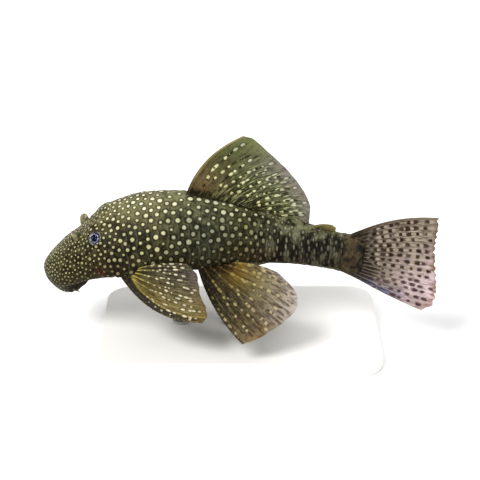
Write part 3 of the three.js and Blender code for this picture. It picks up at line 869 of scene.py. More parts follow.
def nearest(
    places: np.ndarray, middles: np.ndarray, sizes: Optional[np.ndarray] = None,
    axes: Optional[np.ndarray] = None,
) -> np.ndarray:
    """Number of the mark nearest to each place.

    The distance of round marks needs only the middle's own square less twice the product of place
    and middle. That of long marks is measured in half lengths along the mark and in half widths
    across it.

    Args:
        places: The places, (n, 3).
        middles: The marks' middles, (m, 3).
        sizes: The half lengths and half widths of long marks, (m, 2).
        axes: The directions of long marks, (m, 3).

    Returns:
        A number for each place, (n,).
    """
    found = np.empty(len(places), int)
    marks = middles.astype(np.float32)
    for start in range(0, len(places), PLACES_AT_ONCE):
        chunk = slice(start, start + PLACES_AT_ONCE)
        part = places[chunk].astype(np.float32)
        if axes is None:
            distance = (marks**2).sum(1) - 2 * part @ marks.T
        else:
            away = part[:, None] - marks
            length = np.einsum("nmk,mk->nm", away, axes.astype(np.float32)) ** 2
            square = np.einsum("nmk,nmk->nm", away, away)
            distance = length / sizes[:, 0] ** 2 + (square - length) / sizes[:, 1] ** 2
        found[chunk] = distance.argmin(1)
    return found


SPINE_SIDES = 6
SPINE_STEPS = np.array([0.0, 0.3, 0.6, 0.85, 1.0])
SPINE_TAPER = 0.93
SPINE_HOOK = 0.3


def spine_shell(
    roots: np.ndarray, lines: np.ndarray, out: np.ndarray, length: np.ndarray, radius: np.ndarray
) -> Shell:
    """Many hooked spines as one shell.

    Each runs along its line and bends outwards with the square of the way, and its radius tapers
    to a blunt point.

    Args:
        roots: Their roots, (n, 3).
        lines: Their directions, (n, 3).
        out: The outward directions that they bend to, (n, 3).
        length: Their lengths, (n,).
        radius: Their radii at the root, (n,).

    Returns:
        The shell.
    """
    roots, lines, out = (part[:, None, None] for part in (roots, lines, out))
    length, radius = (part[:, None, None, None] for part in (length, radius))
    steps = SPINE_STEPS[None, :, None, None]
    spin = ring_of(SPINE_SIDES)[None, None, :, None]
    beside = unit(np.cross(lines, out))
    above = np.cross(beside, lines)
    middle = roots + (lines * steps + SPINE_HOOK * steps**2 * above) * length
    circle = np.cos(spin) * beside + np.sin(spin) * above
    points = middle + circle * (1 - SPINE_TAPER * steps) * radius
    index = np.arange(points.size // 3).reshape(points.shape[:3])
    after = np.roll(index, -1, axis=2)
    quads = np.stack([index[:, :-1], after[:, :-1], after[:, 1:], index[:, 1:]], -1).reshape(-1, 4)
    return Shell(points.reshape(-1, 3), quads.tolist() + index[:, -1].tolist() + index[:, 0, ::-1].tolist())


def with_spots(
    bench: Bench, ground: Value, pale: Value, strength: Number, halo: Number, upright: Number = 0.0
) -> bpy.types.NodeSocket:
    """Lays round pale spots in soft dark rings over a ground colour.

    Each face knows the middle, radius and tone of its nearest spot, so a spot is a disc round that
    middle, its edge a little uneven.

    Args:
        bench: The material's bench.
        ground: The colour between the spots.
        pale: The spots' colour.
        strength: How much of the pale colour shows.
        halo: How much of the dark ring shows.
        upright: How much narrower and taller than round the spots are.

    Returns:
        The colour.
    """
    place = bench.place()
    away = bench.vector("SUBTRACT", place, bench.attribute_vector("spot_middle"))
    stretch = bench.joined(1 + upright, 1 + upright, 1 - upright * 0.5)
    away = bench.measure("LENGTH", bench.vector("MULTIPLY", away, stretch))
    radius, tone = bench.attribute("spot_radius"), bench.attribute("spot_tone")
    wobble = bench.noise(place, 1300, 2) - 0.5
    distance = away / (radius * MM) + wobble * 0.55
    ring = (1 - distance.step(0.9, 2.5)) * halo
    disc = (1 - distance.step(0.6, 1.22)) * (1.05 - tone * 0.4) * strength
    return bench.mix(disc, bench.mix(ring, ground, "#0d0a03"), pale)


@dataclass(frozen=True)
class SkinFinish:
    """Dark olive armoured skin with round cream spots in darker rings, and dim mottles behind.

    Ramps are (share of the standard length, colour code) stops. Windows are four such shares, where
    a marking starts, is full, fades and ends.
    """

    name: str = "spotted_skin"
    back: Stops = (
        (0, "#454019"), (0.2, "#5c5832"), (0.3, "#75714a"), (0.45, "#787854"), (0.56, "#5c5d42"),
        (0.66, "#4b4a2c"), (0.8, "#605e40"), (1, "#33301f"),
    )
    flank: Stops = (
        (0, "#332f0e"), (0.1, "#25210a"), (0.2, "#201b04"), (0.32, "#221d07"), (0.42, "#36341a"),
        (0.53, "#282c20"), (0.66, "#1d1904"), (0.8, "#1e1d14"), (0.92, "#161412"), (1, "#120f0b"),
    )
    low: Stops = (
        (0, "#241f07"), (0.2, "#1b1503"), (0.35, "#221d06"), (0.55, "#1f1a06"), (0.66, "#241902"),
        (0.8, "#241c15"), (1, "#18130f"),
    )
    belly: str = "#7d7054"
    spot: Stops = (
        (0, "#a8a47a"), (0.12, "#9f9a6b"), (0.2, "#9c976a"), (0.3, "#b0ab7c"), (0.42, "#b2af84"),
        (0.54, "#8e917c"), (0.66, "#7f7b53"), (0.8, "#85856e"), (1, "#78786b"),
    )
    tail_base: Stops = (
        (0, "#2a2418"), (0.3, "#352c1e"), (0.5, "#3d3220"), (0.7, "#302719"), (0.84, "#0f0b06"),
        (1, "#120d07"),
    )
    cheek_window: Plateau = (0.2, 0.27, 0.36, 0.46)
    jaw_window: Plateau = (0.14, 0.24, 0.3, 0.38)
    nape_window: Plateau = (0.24, 0.3, 0.36, 0.46)
    # where the painted shade along the dorsal fin's foot starts and ends
    dorsal_shade_start: Span = (0.465, 0.5)
    dorsal_shade_end: Span = (0.7, 0.76)
    peduncle: Span = (0.62, 0.82)
    tail: Span = (0.78, 0.93)
    grain_scale: float = 900
    cloud_scale: float = 150
    net_scale: float = 420
    patch_scale: float = 260
    prickle_scale: float = 3200
    prickle_depth: float = 0.00006
    mottle_stretch: Triple = (390, 390, 150)

    def make(self) -> bpy.types.Material:
        """Builds the material: ground, spots, painted shade along the foot of the dorsal fin, and the tail's
        base.

        Returns:
            The material.
        """
        bench = Bench(self.name)
        place = bench.place()
        station, turn = bench.attribute("station"), bench.attribute("turn")
        grain = bench.noise(place, self.grain_scale, 3, 0.6)
        cloud = bench.noise(place, self.cloud_scale, 3, 0.55)
        net = bench.noise(place, self.net_scale, 3, 0.6)
        height = turn + (cloud - 0.5) * 0.1
        behind, far = station.step(*self.peduncle), station.step(*self.tail)
        ground = self._ground(bench, station, height, turn, grain, cloud, net)
        ground = self._mottled(bench, place, ground, height, behind)
        pale = self._spot_colour(bench, station, height, behind)
        strength, halo = 1 - behind * 0.28 - far * 0.3, 0.8 - behind * 0.3
        colour = with_spots(bench, ground, pale, strength, halo, behind * 0.9)
        # painted shade on the skin along the foot of the dorsal fin
        foot = (1 - turn.step(0.02, 0.075)) * station.step(*self.dorsal_shade_start)
        foot = foot * (1 - station.step(*self.dorsal_shade_end))
        colour = bench.mix(foot * 0.9, colour, "#0a0803")
        colour = self._with_tail_base(bench, colour, station, cloud, net)
        inputs = {"Vector": place, "Scale": self.prickle_scale}
        prickles = bench.wire("ShaderNodeTexVoronoi", {"feature": "F1"}, inputs, "Distance")
        return bench.finish({
            "Base Color": colour, "Roughness": 0.44 + grain * 0.16, "Specular IOR Level": 0.06,
            "Normal": bench.bump(prickles * 0.7 + grain * 0.3, self.prickle_depth, 0.6),
        })

    def _ground(
        self, bench: Bench, station: Wire, height: Wire, turn: Wire, grain: Wire, cloud: Wire, net: Wire
    ) -> Value:
        """Three ramps along the body, mixed by how far round it a place lies, with dark blotches, a
        net of paler and darker tones, a blush on the cheek, and on the plates a painted highlight
        along their rear edges and painted shade in their seams.

        Args:
            bench: The material's bench.
            station: Stations of the places.
            height: The turn, made a little uneven.
            turn: Turns of the places.
            grain: Fine noise.
            cloud: Coarse noise.
            net: Noise between the two in size.

        Returns:
            The colour.
        """
        # edge carries painted light and shade of the plates: a painted highlight on rear edges, painted shade
        # in seams
        edge, blush = bench.attribute("edge"), bench.attribute("blush")
        patch = bench.noise(bench.place(), self.patch_scale, 2, 0.5)
        cheek = station.window(*self.cheek_window) * height.step(0.18, 0.4)
        back, flank, low = (bench.ramp(station, stops) for stops in (self.back, self.flank, self.low))
        ground = bench.mix(height.step(0.38, 0.58), bench.mix(height.step(0.04, 0.36), back, flank), low)
        for factor, tone in (
            (height.step(0.66, 0.8) * 0.8, self.belly),
            (cloud.step(0.58, 0.36) * 0.72, "#0d0a02"),
            (patch.step(0.36, 0.52) * cheek * 0.92, "#0d0802"),
            (net.step(0.48, 0.68) * (0.65 - turn * 1.3).most(0.05), "#7b7955"),
            (net.step(0.48, 0.3) * 0.78, "#0a0802"),
            ((grain - 0.5).most(0) * 1.1, "#6f6c48"),
            (blush * (0.3 + grain * 0.5), "#35200f"),
            # painted highlight on the plates' rear edges, then painted shade in the seams before them and
            # between rows
            (edge.most(0) * 0.1, "#8b8a70"),
            ((edge * -1).most(0) * 0.25, "#0d0a03"),
        ):
            ground = bench.mix(factor, ground, tone)
        return ground

    def _mottled(self, bench: Bench, place: Value, ground: Value, height: Wire, behind: Wire) -> Value:
        """Adds pale and dark mottles that stand upright on the rear of the body.

        Args:
            bench: The material's bench.
            place: Object coordinates.
            ground: The colour below.
            height: The turn, made a little uneven.
            behind: 0 before the rear of the body, 1 on it.

        Returns:
            The colour.
        """
        upright = bench.noise(bench.stretched(place, self.mottle_stretch), 1.0, 2, 0.55)
        pale = upright.step(0.52, 0.66) * behind * behind * (0.85 - height * 0.85).most(0.12)
        ground = bench.mix(pale, ground, "#74735d")
        return bench.mix(upright.step(0.51, 0.42) * behind * 0.85, ground, "#070503")

    def _spot_colour(self, bench: Bench, station: Wire, height: Wire, behind: Wire) -> Value:
        """The spots' colour: duller low down and on the jaw, paler on the back and the nape.

        Args:
            bench: The material's bench.
            station: Stations of the places.
            height: The turn, made a little uneven.
            behind: 0 before the rear of the body, 1 on it.

        Returns:
            The colour.
        """
        on_back = (1 - height.step(0.08, 0.3)) * (1 - behind)
        jaw = station.window(*self.jaw_window) * height.step(0.34, 0.5)
        nape = station.window(*self.nape_window) * (1 - height.step(0.1, 0.26))
        pale = bench.mix(height.step(0.3, 0.6) * 0.7, bench.ramp(station, self.spot), "#564521")
        pale = bench.mix(on_back * 0.6, pale, "#dedab4")
        pale = bench.mix(jaw * 0.45, pale, "#4a4022")
        return bench.mix(nape * 0.4, pale, "#fbf9ea")

    def _with_tail_base(self, bench: Bench, colour: Value, station: Wire, cloud: Wire, net: Wire) -> Value:
        """Covers the skin behind the last plates with brown mottles that end in a dark bar.

        Args:
            bench: The material's bench.
            colour: The colour below.
            station: Stations of the places.
            cloud: Coarse noise.
            net: Noise between the two in size.

        Returns:
            The colour.
        """
        share = (station + (net - 0.5) * 0.012).step(0.965, 1.045) + (cloud - 0.5) * 0.25
        base = bench.mix(net.step(0.5, 0.64) * 0.6, bench.ramp(share, self.tail_base), "#51462f")
        base = bench.mix(net.step(0.5, 0.38) * 0.8, base, "#0c0905")
        return bench.mix((station + (net - 0.5) * 0.03).step(0.95, 1.0) * 0.9, colour, base)


FINE_STEPS = 2001
ALMOST_ROUND = 0.995


@dataclass(frozen=True)
class Ridge:
    """A rise of the skin along a ring round a place, or a round one where the ring's radius is 0.

    Its height, below zero for a hollow, and its radius and width are in millimetres.
    """

    station: float
    turn: float
    height: float
    radius: float
    width: float


@dataclass
class Skin:
    """One skin over head, torso and tail, with plates, bones of the skull, sockets and spots.

    Attributes:
        body, armour: The smooth body and the rings of plates.
        head_rows, snout_crowding, plate_rows, half_places: How fine the mesh is, and where.
        widest_station: Where the places round the body are spaced evenly.
        sunk: Millimetres by which all of the skin lies inside the solids.
        tail_taper, tail_flattening: (station, share) of the rings inside the tail fin.
        bones, bone_jitter, bone_seed: (station, turns) of the middles of the skull's bones.
        seam_depth, seam_width, seam_window, seam_fade: The seams, by station and radians round.
        ridges, socket_depth, socket_edge: Rims, brows and pits, and the hollow under each eye.
        fin_roots: The ends of the paired fins' roots, as (station, turn).
        root_rings, gill: (place, height, width) of rings round the roots and of the gill opening.
        gill_turns, ledge_turn, ledge_depth, nape_height, nape_stations: Of the gill opening, the
            snout's margin and the ridge of the nape.
        bare_round_eye, bare_turn: How far round the eyes, and from where on below, no spots lie.
        spots, finish: Its spots and its material.
    """

    body: Body
    armour: Armour
    head_rows: int = 132
    snout_crowding: float = 1.6
    plate_rows: tuple[float, ...] = (0.0, 0.06, 0.15, 0.25, 0.36, 0.48, 0.6, 0.72, 0.83, 0.92, 0.975)
    half_places: int = 112
    widest_station: float = 34.0
    sunk: float = 0.02
    tail_taper: tuple[tuple[float, float], ...] = (
        (100.6, 0.94), (101.4, 0.8), (102.3, 0.6), (103.2, 0.4), (104.2, 0.18),
    )
    tail_flattening: float = 0.12
    bones: tuple = (
        (26, (0.0, 0.16, 0.33, 0.62)), (20.5, (0.08, 0.36, 0.52)), (15, (0.0, 0.26, 0.45)),
        (9.5, (0.1, 0.35)),
    )
    bone_jitter: float = 0.6
    bone_seed: int = 5
    seam_depth: float = 0.13
    seam_width: float = 0.32
    seam_window: Plateau = (5, 9, 27, 28.4)
    seam_fade: Span = (2.1, 2.3)
    ridges: tuple[Ridge, ...] = (
        Ridge(EYE_STATION, EYE_TURN, 0.25, 2.7, 0.5),
        Ridge(EYE_STATION + 0.6, EYE_TURN - 0.075, 0.25, 0.0, 1.6),
        Ridge(NOSTRIL_STATION - 1.25, NOSTRIL_TURN, -0.7, 0.0, 0.75),
        Ridge(NOSTRIL_STATION + 1.25, NOSTRIL_TURN, -0.7, 0.0, 0.75),
        Ridge(NOSTRIL_STATION, NOSTRIL_TURN, 0.2, 2.0, 0.45),
        Ridge(CHEEK_STATION + 0.6, CHEEK_TURN, -0.22, 2.6, 0.5),
    )
    socket_depth: float = 1.0
    socket_edge: Span = (1.3, 2.1)
    fin_roots: tuple = (((28.5, 0.62), (33.0, 0.55)), ((52.6, 0.66), (60.5, 0.78)))
    root_rings: Pairs = ((0.0, 0.4, 1.1), (2.6, -0.12, 0.4))
    gill: Pairs = ((26.3, 0.22, 0.6), (27.4, -0.45, 0.35))
    gill_turns: Plateau = (0.54, 0.6, 0.76, 0.84)
    ledge_turn: float = 0.475
    ledge_depth: float = 0.2
    nape_height: float = 0.35
    nape_stations: Plateau = (17, 25, 27, 31)
    bare_round_eye: float = 2.6
    bare_turn: float = 0.9
    spots: Spots = field(default_factory=Spots)
    finish: SkinFinish = field(default_factory=SkinFinish)

    def angles(self) -> np.ndarray:
        """Angles round the body, spaced evenly over the girth of its widest section.

        Returns:
            Radians, from the back down the left side to the belly and up the right.
        """
        fine = np.linspace(0, np.pi, FINE_STEPS)
        ring = self.body.section(percent(self.widest_station), fine)
        length = np.concatenate([[0], np.cumsum(np.linalg.norm(np.diff(ring, axis=0), axis=1))])
        half = np.interp(np.linspace(0, length[-1], self.half_places + 1), length, fine)
        return np.concatenate([half, -half[-2:0:-1]])

    def numbers(self) -> np.ndarray:
        """Ring numbers of the rows: below zero on the head, whole at each plate's front.

        Returns:
            The numbers, (rows,).
        """
        head = (np.arange(1, self.head_rows + 1) / self.head_rows) ** self.snout_crowding - 1
        plates = np.arange(self.armour.rings)[:, None] + np.array(self.plate_rows)
        return np.concatenate([head[:-1], plates.ravel(), [self.armour.rings]])

    def straight_places(self) -> tuple[np.ndarray, ...]:
        """Where the points of the grid lie on the body.

        Returns:
            Millimetres along, radians round, ring numbers and shares of the way down the plated
            side, each (rows, places).
        """
        armour = self.armour
        number = self.numbers()[:, None]
        angle = self.angles()[None]
        head_share, plates = np.minimum(1 + number, 1), np.maximum(number, 0)
        station = armour.first * head_share + armour.pitch * plates
        across = np.abs(angle) / (np.pi * np.minimum(armour.lower_edge(station), ALMOST_ROUND))
        shift = armour.shift(plates, np.minimum(across, 1))
        along = head_share * (percent(armour.first) + shift) + percent(armour.pitch) * plates
        return along, np.broadcast_to(angle, along.shape), np.broadcast_to(number, along.shape), across

    def _distance(self, straight: np.ndarray, station: float, turn: float, side: Side) -> np.ndarray:
        """Millimetres of straight points from a place on the smooth body."""
        middle = self.body.section(percent(station), side.value * turn * np.pi)
        return np.linalg.norm(straight - middle, axis=-1)

    def _seams(self, straight: np.ndarray, station: np.ndarray, angle: np.ndarray) -> np.ndarray:
        """Grooves between the bones of the skull, where a place is as far from one bone's middle as
        from the next.

        Args:
            straight: Straight points of the smooth body.
            station: Stations of the places.
            angle: Radians from the back, positive to the left.

        Returns:
            Millimetres outwards, below zero.
        """
        draw = np.random.default_rng(self.bone_seed)
        middles = []
        for bone_station, turns in self.bones:
            for turn in turns:
                for sign in (1, -1) if turn else (1,):
                    place = percent(bone_station + draw.normal(0, self.bone_jitter))
                    middles.append(self.body.section(place, sign * turn * np.pi))
        away = np.sort(np.linalg.norm(straight[..., None, :] - np.array(middles), axis=-1), axis=-1)
        within = window(station, *self.seam_window) * (1 - smooth(np.abs(angle), *self.seam_fade))
        return -self.seam_depth * bell(away[..., 1] - away[..., 0], self.seam_width) * within

    def _fin_sockets(self, straight: np.ndarray) -> np.ndarray:
        """A swelling round the root of each paired fin, with a shallow groove round it.

        Args:
            straight: Straight points of the smooth body.

        Returns:
            Millimetres outwards.
        """
        height = np.zeros(straight.shape[:-1])
        for root in self.fin_roots:
            stations, turns = (np.linspace(*ends, 7) for ends in zip(*root))
            away = np.min([
                self._distance(straight, *place, side) for place in zip(stations, turns) for side in Side
            ], axis=0)
            for ring, rise, width in self.root_rings:
                height += rise * bell(away - ring, width)
        return height

    def skull(self, straight: np.ndarray, along: np.ndarray, angle: np.ndarray) -> np.ndarray:
        """Fine relief of the head and of the fins' roots.

        Each eye has a raised rim round a hollow and a brow over it, each nostril two pits in a low
        rim, the cheek a groove round its pocket of spines, the gill opening a slit behind a lip, and
        the snout a ledge along its margin. A low ridge runs back along the middle of the nape.

        Args:
            straight: The straight points of the smooth body.
            along: Millimetres from the snout tip.
            angle: Radians from the back.

        Returns:
            Millimetres outwards.
        """
        station, turn = station_at(along), np.abs(angle) / np.pi
        height = self._seams(straight, station, angle)
        for side in Side:
            for ridge in self.ridges:
                away = self._distance(straight, ridge.station, ridge.turn, side)
                height += ridge.height * bell(away - ridge.radius, ridge.width)
            eye = self._distance(straight, EYE_STATION, EYE_TURN, side)
            height -= self.socket_depth * (1 - smooth(eye, *self.socket_edge))
        gill = sum(rise * bell(station - middle, width) for middle, rise, width in self.gill)
        height += window(turn, *self.gill_turns) * gill + self._fin_sockets(straight)
        ledge = bell(np.abs(angle) - self.ledge_turn * np.pi, 0.05) * (1 - smooth(station, 12, 18))
        ledge = ledge * smooth(along, 0.2, 2)
        nape = bell(angle * 12, 2.0) * window(station, *self.nape_stations)
        return height - self.ledge_depth * ledge + self.nape_height * nape

    def _tail_rings(self, last: np.ndarray) -> np.ndarray:
        """Narrower copies of the last ring behind it, which close the skin inside the tail fin.

        Args:
            last: The skin's last ring of straight points.

        Returns:
            The rings, (n, places, 3).
        """
        rings = []
        for station, share in self.tail_taper:
            ring = last.copy()
            middle = 0.5 * (ring[:, 2].max() + ring[:, 2].min())
            ring[:, 0] += percent(station - 100)
            ring[:, 1] *= share
            ring[:, 2] = middle + (ring[:, 2] - middle) * (1 - self.tail_flattening * (1 - share))
            rings.append(ring)
        return np.array(rings)

    def shell(self) -> Shell:
        """The skin's surface, with station, turn, the plates' painted light and shade, and blush at its
        points and spots on its faces. The last two values of each attribute belong to the caps' middles.

        Returns:
            The closed surface.
        """
        body = self.body
        along, angle, number, across = self.straight_places()
        lift = self.skull(body.section(along, angle), along, angle)
        lift = lift + self.armour.relief(np.maximum(number, 0), across) * (number >= 0)
        straight = body.straight(along, angle, lift - self.sunk)
        taper = self._tail_rings(straight[-1])
        shell = Shell.grid(body.pose.bend(np.concatenate([straight, taper])), closed=True)
        stations = np.concatenate([along, taper[..., 0]]) / STANDARD_LENGTH
        turns = np.concatenate([np.abs(angle), np.repeat(np.abs(angle[-1:]), len(taper), 0)]) / np.pi
        station = np.concatenate([stations.ravel(), [0.0, 1.04]])
        turn = np.concatenate([turns.ravel(), [0.5, 0.5]])
        # edge: painted highlight on the plates' rear edges and painted shade in their seams
        edge = np.concatenate([self.plate_light_and_shade(number, across).ravel(), np.zeros(taper[..., 0].size + 2)])
        blush = 0.85 * bell(100 * station - CHEEK_STATION - 0.8, 3.0) * bell(turn - CHEEK_TURN, 0.06)
        for name, values in (("station", station), ("turn", turn), ("edge", edge), ("blush", blush)):
            shell.attributes[name] = ("POINT", values)
        self._add_spots(shell, station, turn)
        return shell.outward()

    def plate_light_and_shade(self, number: np.ndarray, across: np.ndarray) -> np.ndarray:
        """Painted light and shade of the plates' borders: above zero for a painted highlight on their
        rear edges, below zero for painted shade in the seams in front of them and between the rows.

        Args:
            number: Ring numbers, whole at the front of each ring.
            across: Shares of the way down the plated side.

        Returns:
            Numbers from -1 to 1.
        """
        within = number - np.floor(number)
        # painted highlight along each plate's rear edge, and painted shade in the seam in front of it
        rear = smooth(within, 0.7, 0.9) * (within < 0.95)
        painted_seam_shade = (within < 0.03) | (within >= 0.95)
        in_row = np.minimum(across, 1) * self.armour.rows
        between = bell(in_row - np.round(in_row), 0.05)
        return np.where((number > 0) & (across < 1), rear - painted_seam_shade - 0.6 * between, 0)

    def _add_spots(self, shell: Shell, station: np.ndarray, turn: np.ndarray) -> None:
        """Scatters the spots, clear of the eyes and the belly, and gives every face its nearest.

        Args:
            shell: The surface.
            station: Shares of the standard length, of the points.
            turn: Turns of the points.
        """
        corners = shell.corners()
        stations = 100 * station[corners].mean(1)
        bare = turn[corners].mean(1) > self.bare_turn
        for side in Side:
            eye = self.body.seat(EYE_STATION, EYE_TURN, side)[0]
            bare |= np.linalg.norm(shell.middles() - eye, axis=1) < self.bare_round_eye
        LOG.info("spots: %d", self.spots.attach(shell, stations, bare))

    def build(self) -> bpy.types.Object:
        """Makes the skin's piece."""
        return self.shell().piece("skin", self.finish.make(), "skin", "head", "torso", "tail")


@dataclass(frozen=True)
class PaintFinish:
    """Satin off-white paint, a little uneven."""

    name: str = "satin_paint"
    colour: str = "#e6e5e1"
    roughness: float = 0.5

    def make(self) -> bpy.types.Material:
        """Builds the material from a faint cloud and a fine orange-peel bump.

        Returns:
            The material.
        """
        bench = Bench(self.name)
        place = bench.place()
        cloud = bench.noise(place, 60, 3)
        colour = bench.mix(cloud * 0.12, linear(self.colour), "#d4d2cc")
        normal = bench.bump(bench.noise(place, 2200, 2), 0.00003, 0.4)
        rough = self.roughness + (cloud - 0.5) * 0.12
        return bench.finish({"Base Color": colour, "Roughness": rough, "Normal": normal})


@dataclass(frozen=True)
class SteelFinish:
    """Brushed steel, its fine scratches running round the rod."""

    name: str = "brushed_steel"
    colour: str = "#b9b8b4"
    squeeze: Triple = (60, 60, 9000)

    def make(self) -> bpy.types.Material:
        """Builds the material from noise that is squeezed along the rod.

        Returns:
            The material.
        """
        bench = Bench(self.name)
        scratch = bench.noise(bench.stretched(bench.place(), self.squeeze), 1.0, 3, 0.6)
        colour = bench.mix(scratch * 0.3, linear(self.colour), "#8c8b88")
        return bench.finish({
            "Base Color": colour, "Metallic": 1.0, "Roughness": 0.24 + scratch * 0.2,
            "Normal": bench.bump(scratch, 0.00001, 0.3),
        })


@dataclass
class Stand:
    """The display stand's finishes on its three carried-over solids."""

    base: str = "stand_base"
    rods: tuple[str, ...] = ("stand_rod_front", "stand_rod_back")

    def dress(self) -> None:
        """Gives the base its paint and the rods their steel."""
        steel = SteelFinish().make()
        for name, material in ((self.base, PaintFinish().make()), *((rod, steel) for rod in self.rods)):
            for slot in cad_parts[name].material_slots:
                slot.material = material
            LOG.info("%s: dressed", name)


@dataclass
class Studio:
    """Camera, soft lights and a pale floor."""

    target: Triple = (0.0, 0.0, 0.037)
    elevation: float = 25.0
    distance: float = 0.452
    lens: float = 100.0
    floor_half: float = 6.0
    floor_colour: str = "#fbfbfb"

    def build(self) -> None:
        """Sets up the camera, the world, the lights and the floor."""
        self._camera()
        self._world()
        self._lights()
        self._floor()

    def _camera(self) -> None:
        """The camera looks along +Y and down at the middle of the fish."""
        data = bpy.data.cameras.new("camera")
        data.lens, data.sensor_width = self.lens, 36.0
        data.clip_start, data.clip_end = 0.01, 50.0
        made = placed("camera", data)
        tilt = math.radians(self.elevation)
        away = Vector((0, -math.cos(tilt), math.sin(tilt))) * self.distance
        made.location = Vector(self.target) + away
        made.rotation_euler = (-away).to_track_quat("-Z", "Y").to_euler()
        bpy.context.scene.camera = made

    def _world(self) -> None:
        """Even pale light from all round."""
        world = bpy.data.worlds.new("studio")
        world.use_nodes = True
        background = world.node_tree.nodes["Background"]
        background.inputs["Color"].default_value = (1, 1, 1, 1)
        background.inputs["Strength"].default_value = 0.62
        bpy.context.scene.world = world
        bpy.context.scene.view_settings.view_transform = "Standard"

    def _lights(self) -> None:
        """A large key from the upper left, a weaker fill from the right and a rim from behind."""
        for name, place, size, power in (
            ("key", (-0.5, -0.55, 0.85), 0.5, 12.0),
            ("fill", (0.75, -0.6, 0.45), 0.7, 3.2),
            ("rim", (0.2, 0.9, 0.7), 0.6, 4.0),
        ):
            data = bpy.data.lights.new(name, "AREA")
            data.shape, data.size, data.energy = "DISK", size, power
            made = placed(name, data)
            made.location = place
            aim = Vector(self.target) - made.location
            made.rotation_euler = aim.to_track_quat("-Z", "Y").to_euler()

    def _floor(self) -> None:
        """A plain pale floor."""
        half = self.floor_half
        mesh = bpy.data.meshes.new("floor")
        corners = [(-half, -half, 0), (half, -half, 0), (half, half, 0), (-half, half, 0)]
        mesh.from_pydata(corners, [], [(0, 1, 2, 3)])
        bench = Bench("pale_floor")
        colour = bench.mix(bench.noise(bench.place(), 3.0) * 0.1, linear(self.floor_colour), "#f4f4f4")
        mesh.materials.append(bench.finish({"Base Color": colour, "Roughness": 0.9}))
        placed("floor", mesh)


@dataclass(frozen=True)
class Dashes:
    """Marks set along a fin's rays.

    Attributes:
        length, width, pitch: Their size and how far apart they are, in millimetres.
        start, end: Where they begin and end, as shares of the ray.
        skipped: The share of them that is left out.
        drift: How far each strays along its ray, in pitches.
        widening: How much larger they are at the margin than at the root.
        unevenness: How much their sizes differ.
        shuffle: How far the rays' first marks differ, in pitches.
        phase: How much later along the ray they all stand, in pitches.
        rays: The first and last ray that has them, as shares of the fin.
        branches: The branches of each ray that have them.
        second: True for marks of the finish's second colour.
    """

    length: float
    width: float
    pitch: float
    start: float = 0.1
    end: float = 0.97
    skipped: float = 0.1
    drift: float = 0.25
    widening: float = 0.4
    unevenness: float = 0.2
    shuffle: float = 1.0
    phase: float = 0.0
    rays: Span = (0.0, 1.0)
    branches: tuple[int, ...] = (0, 3)
    second: bool = False


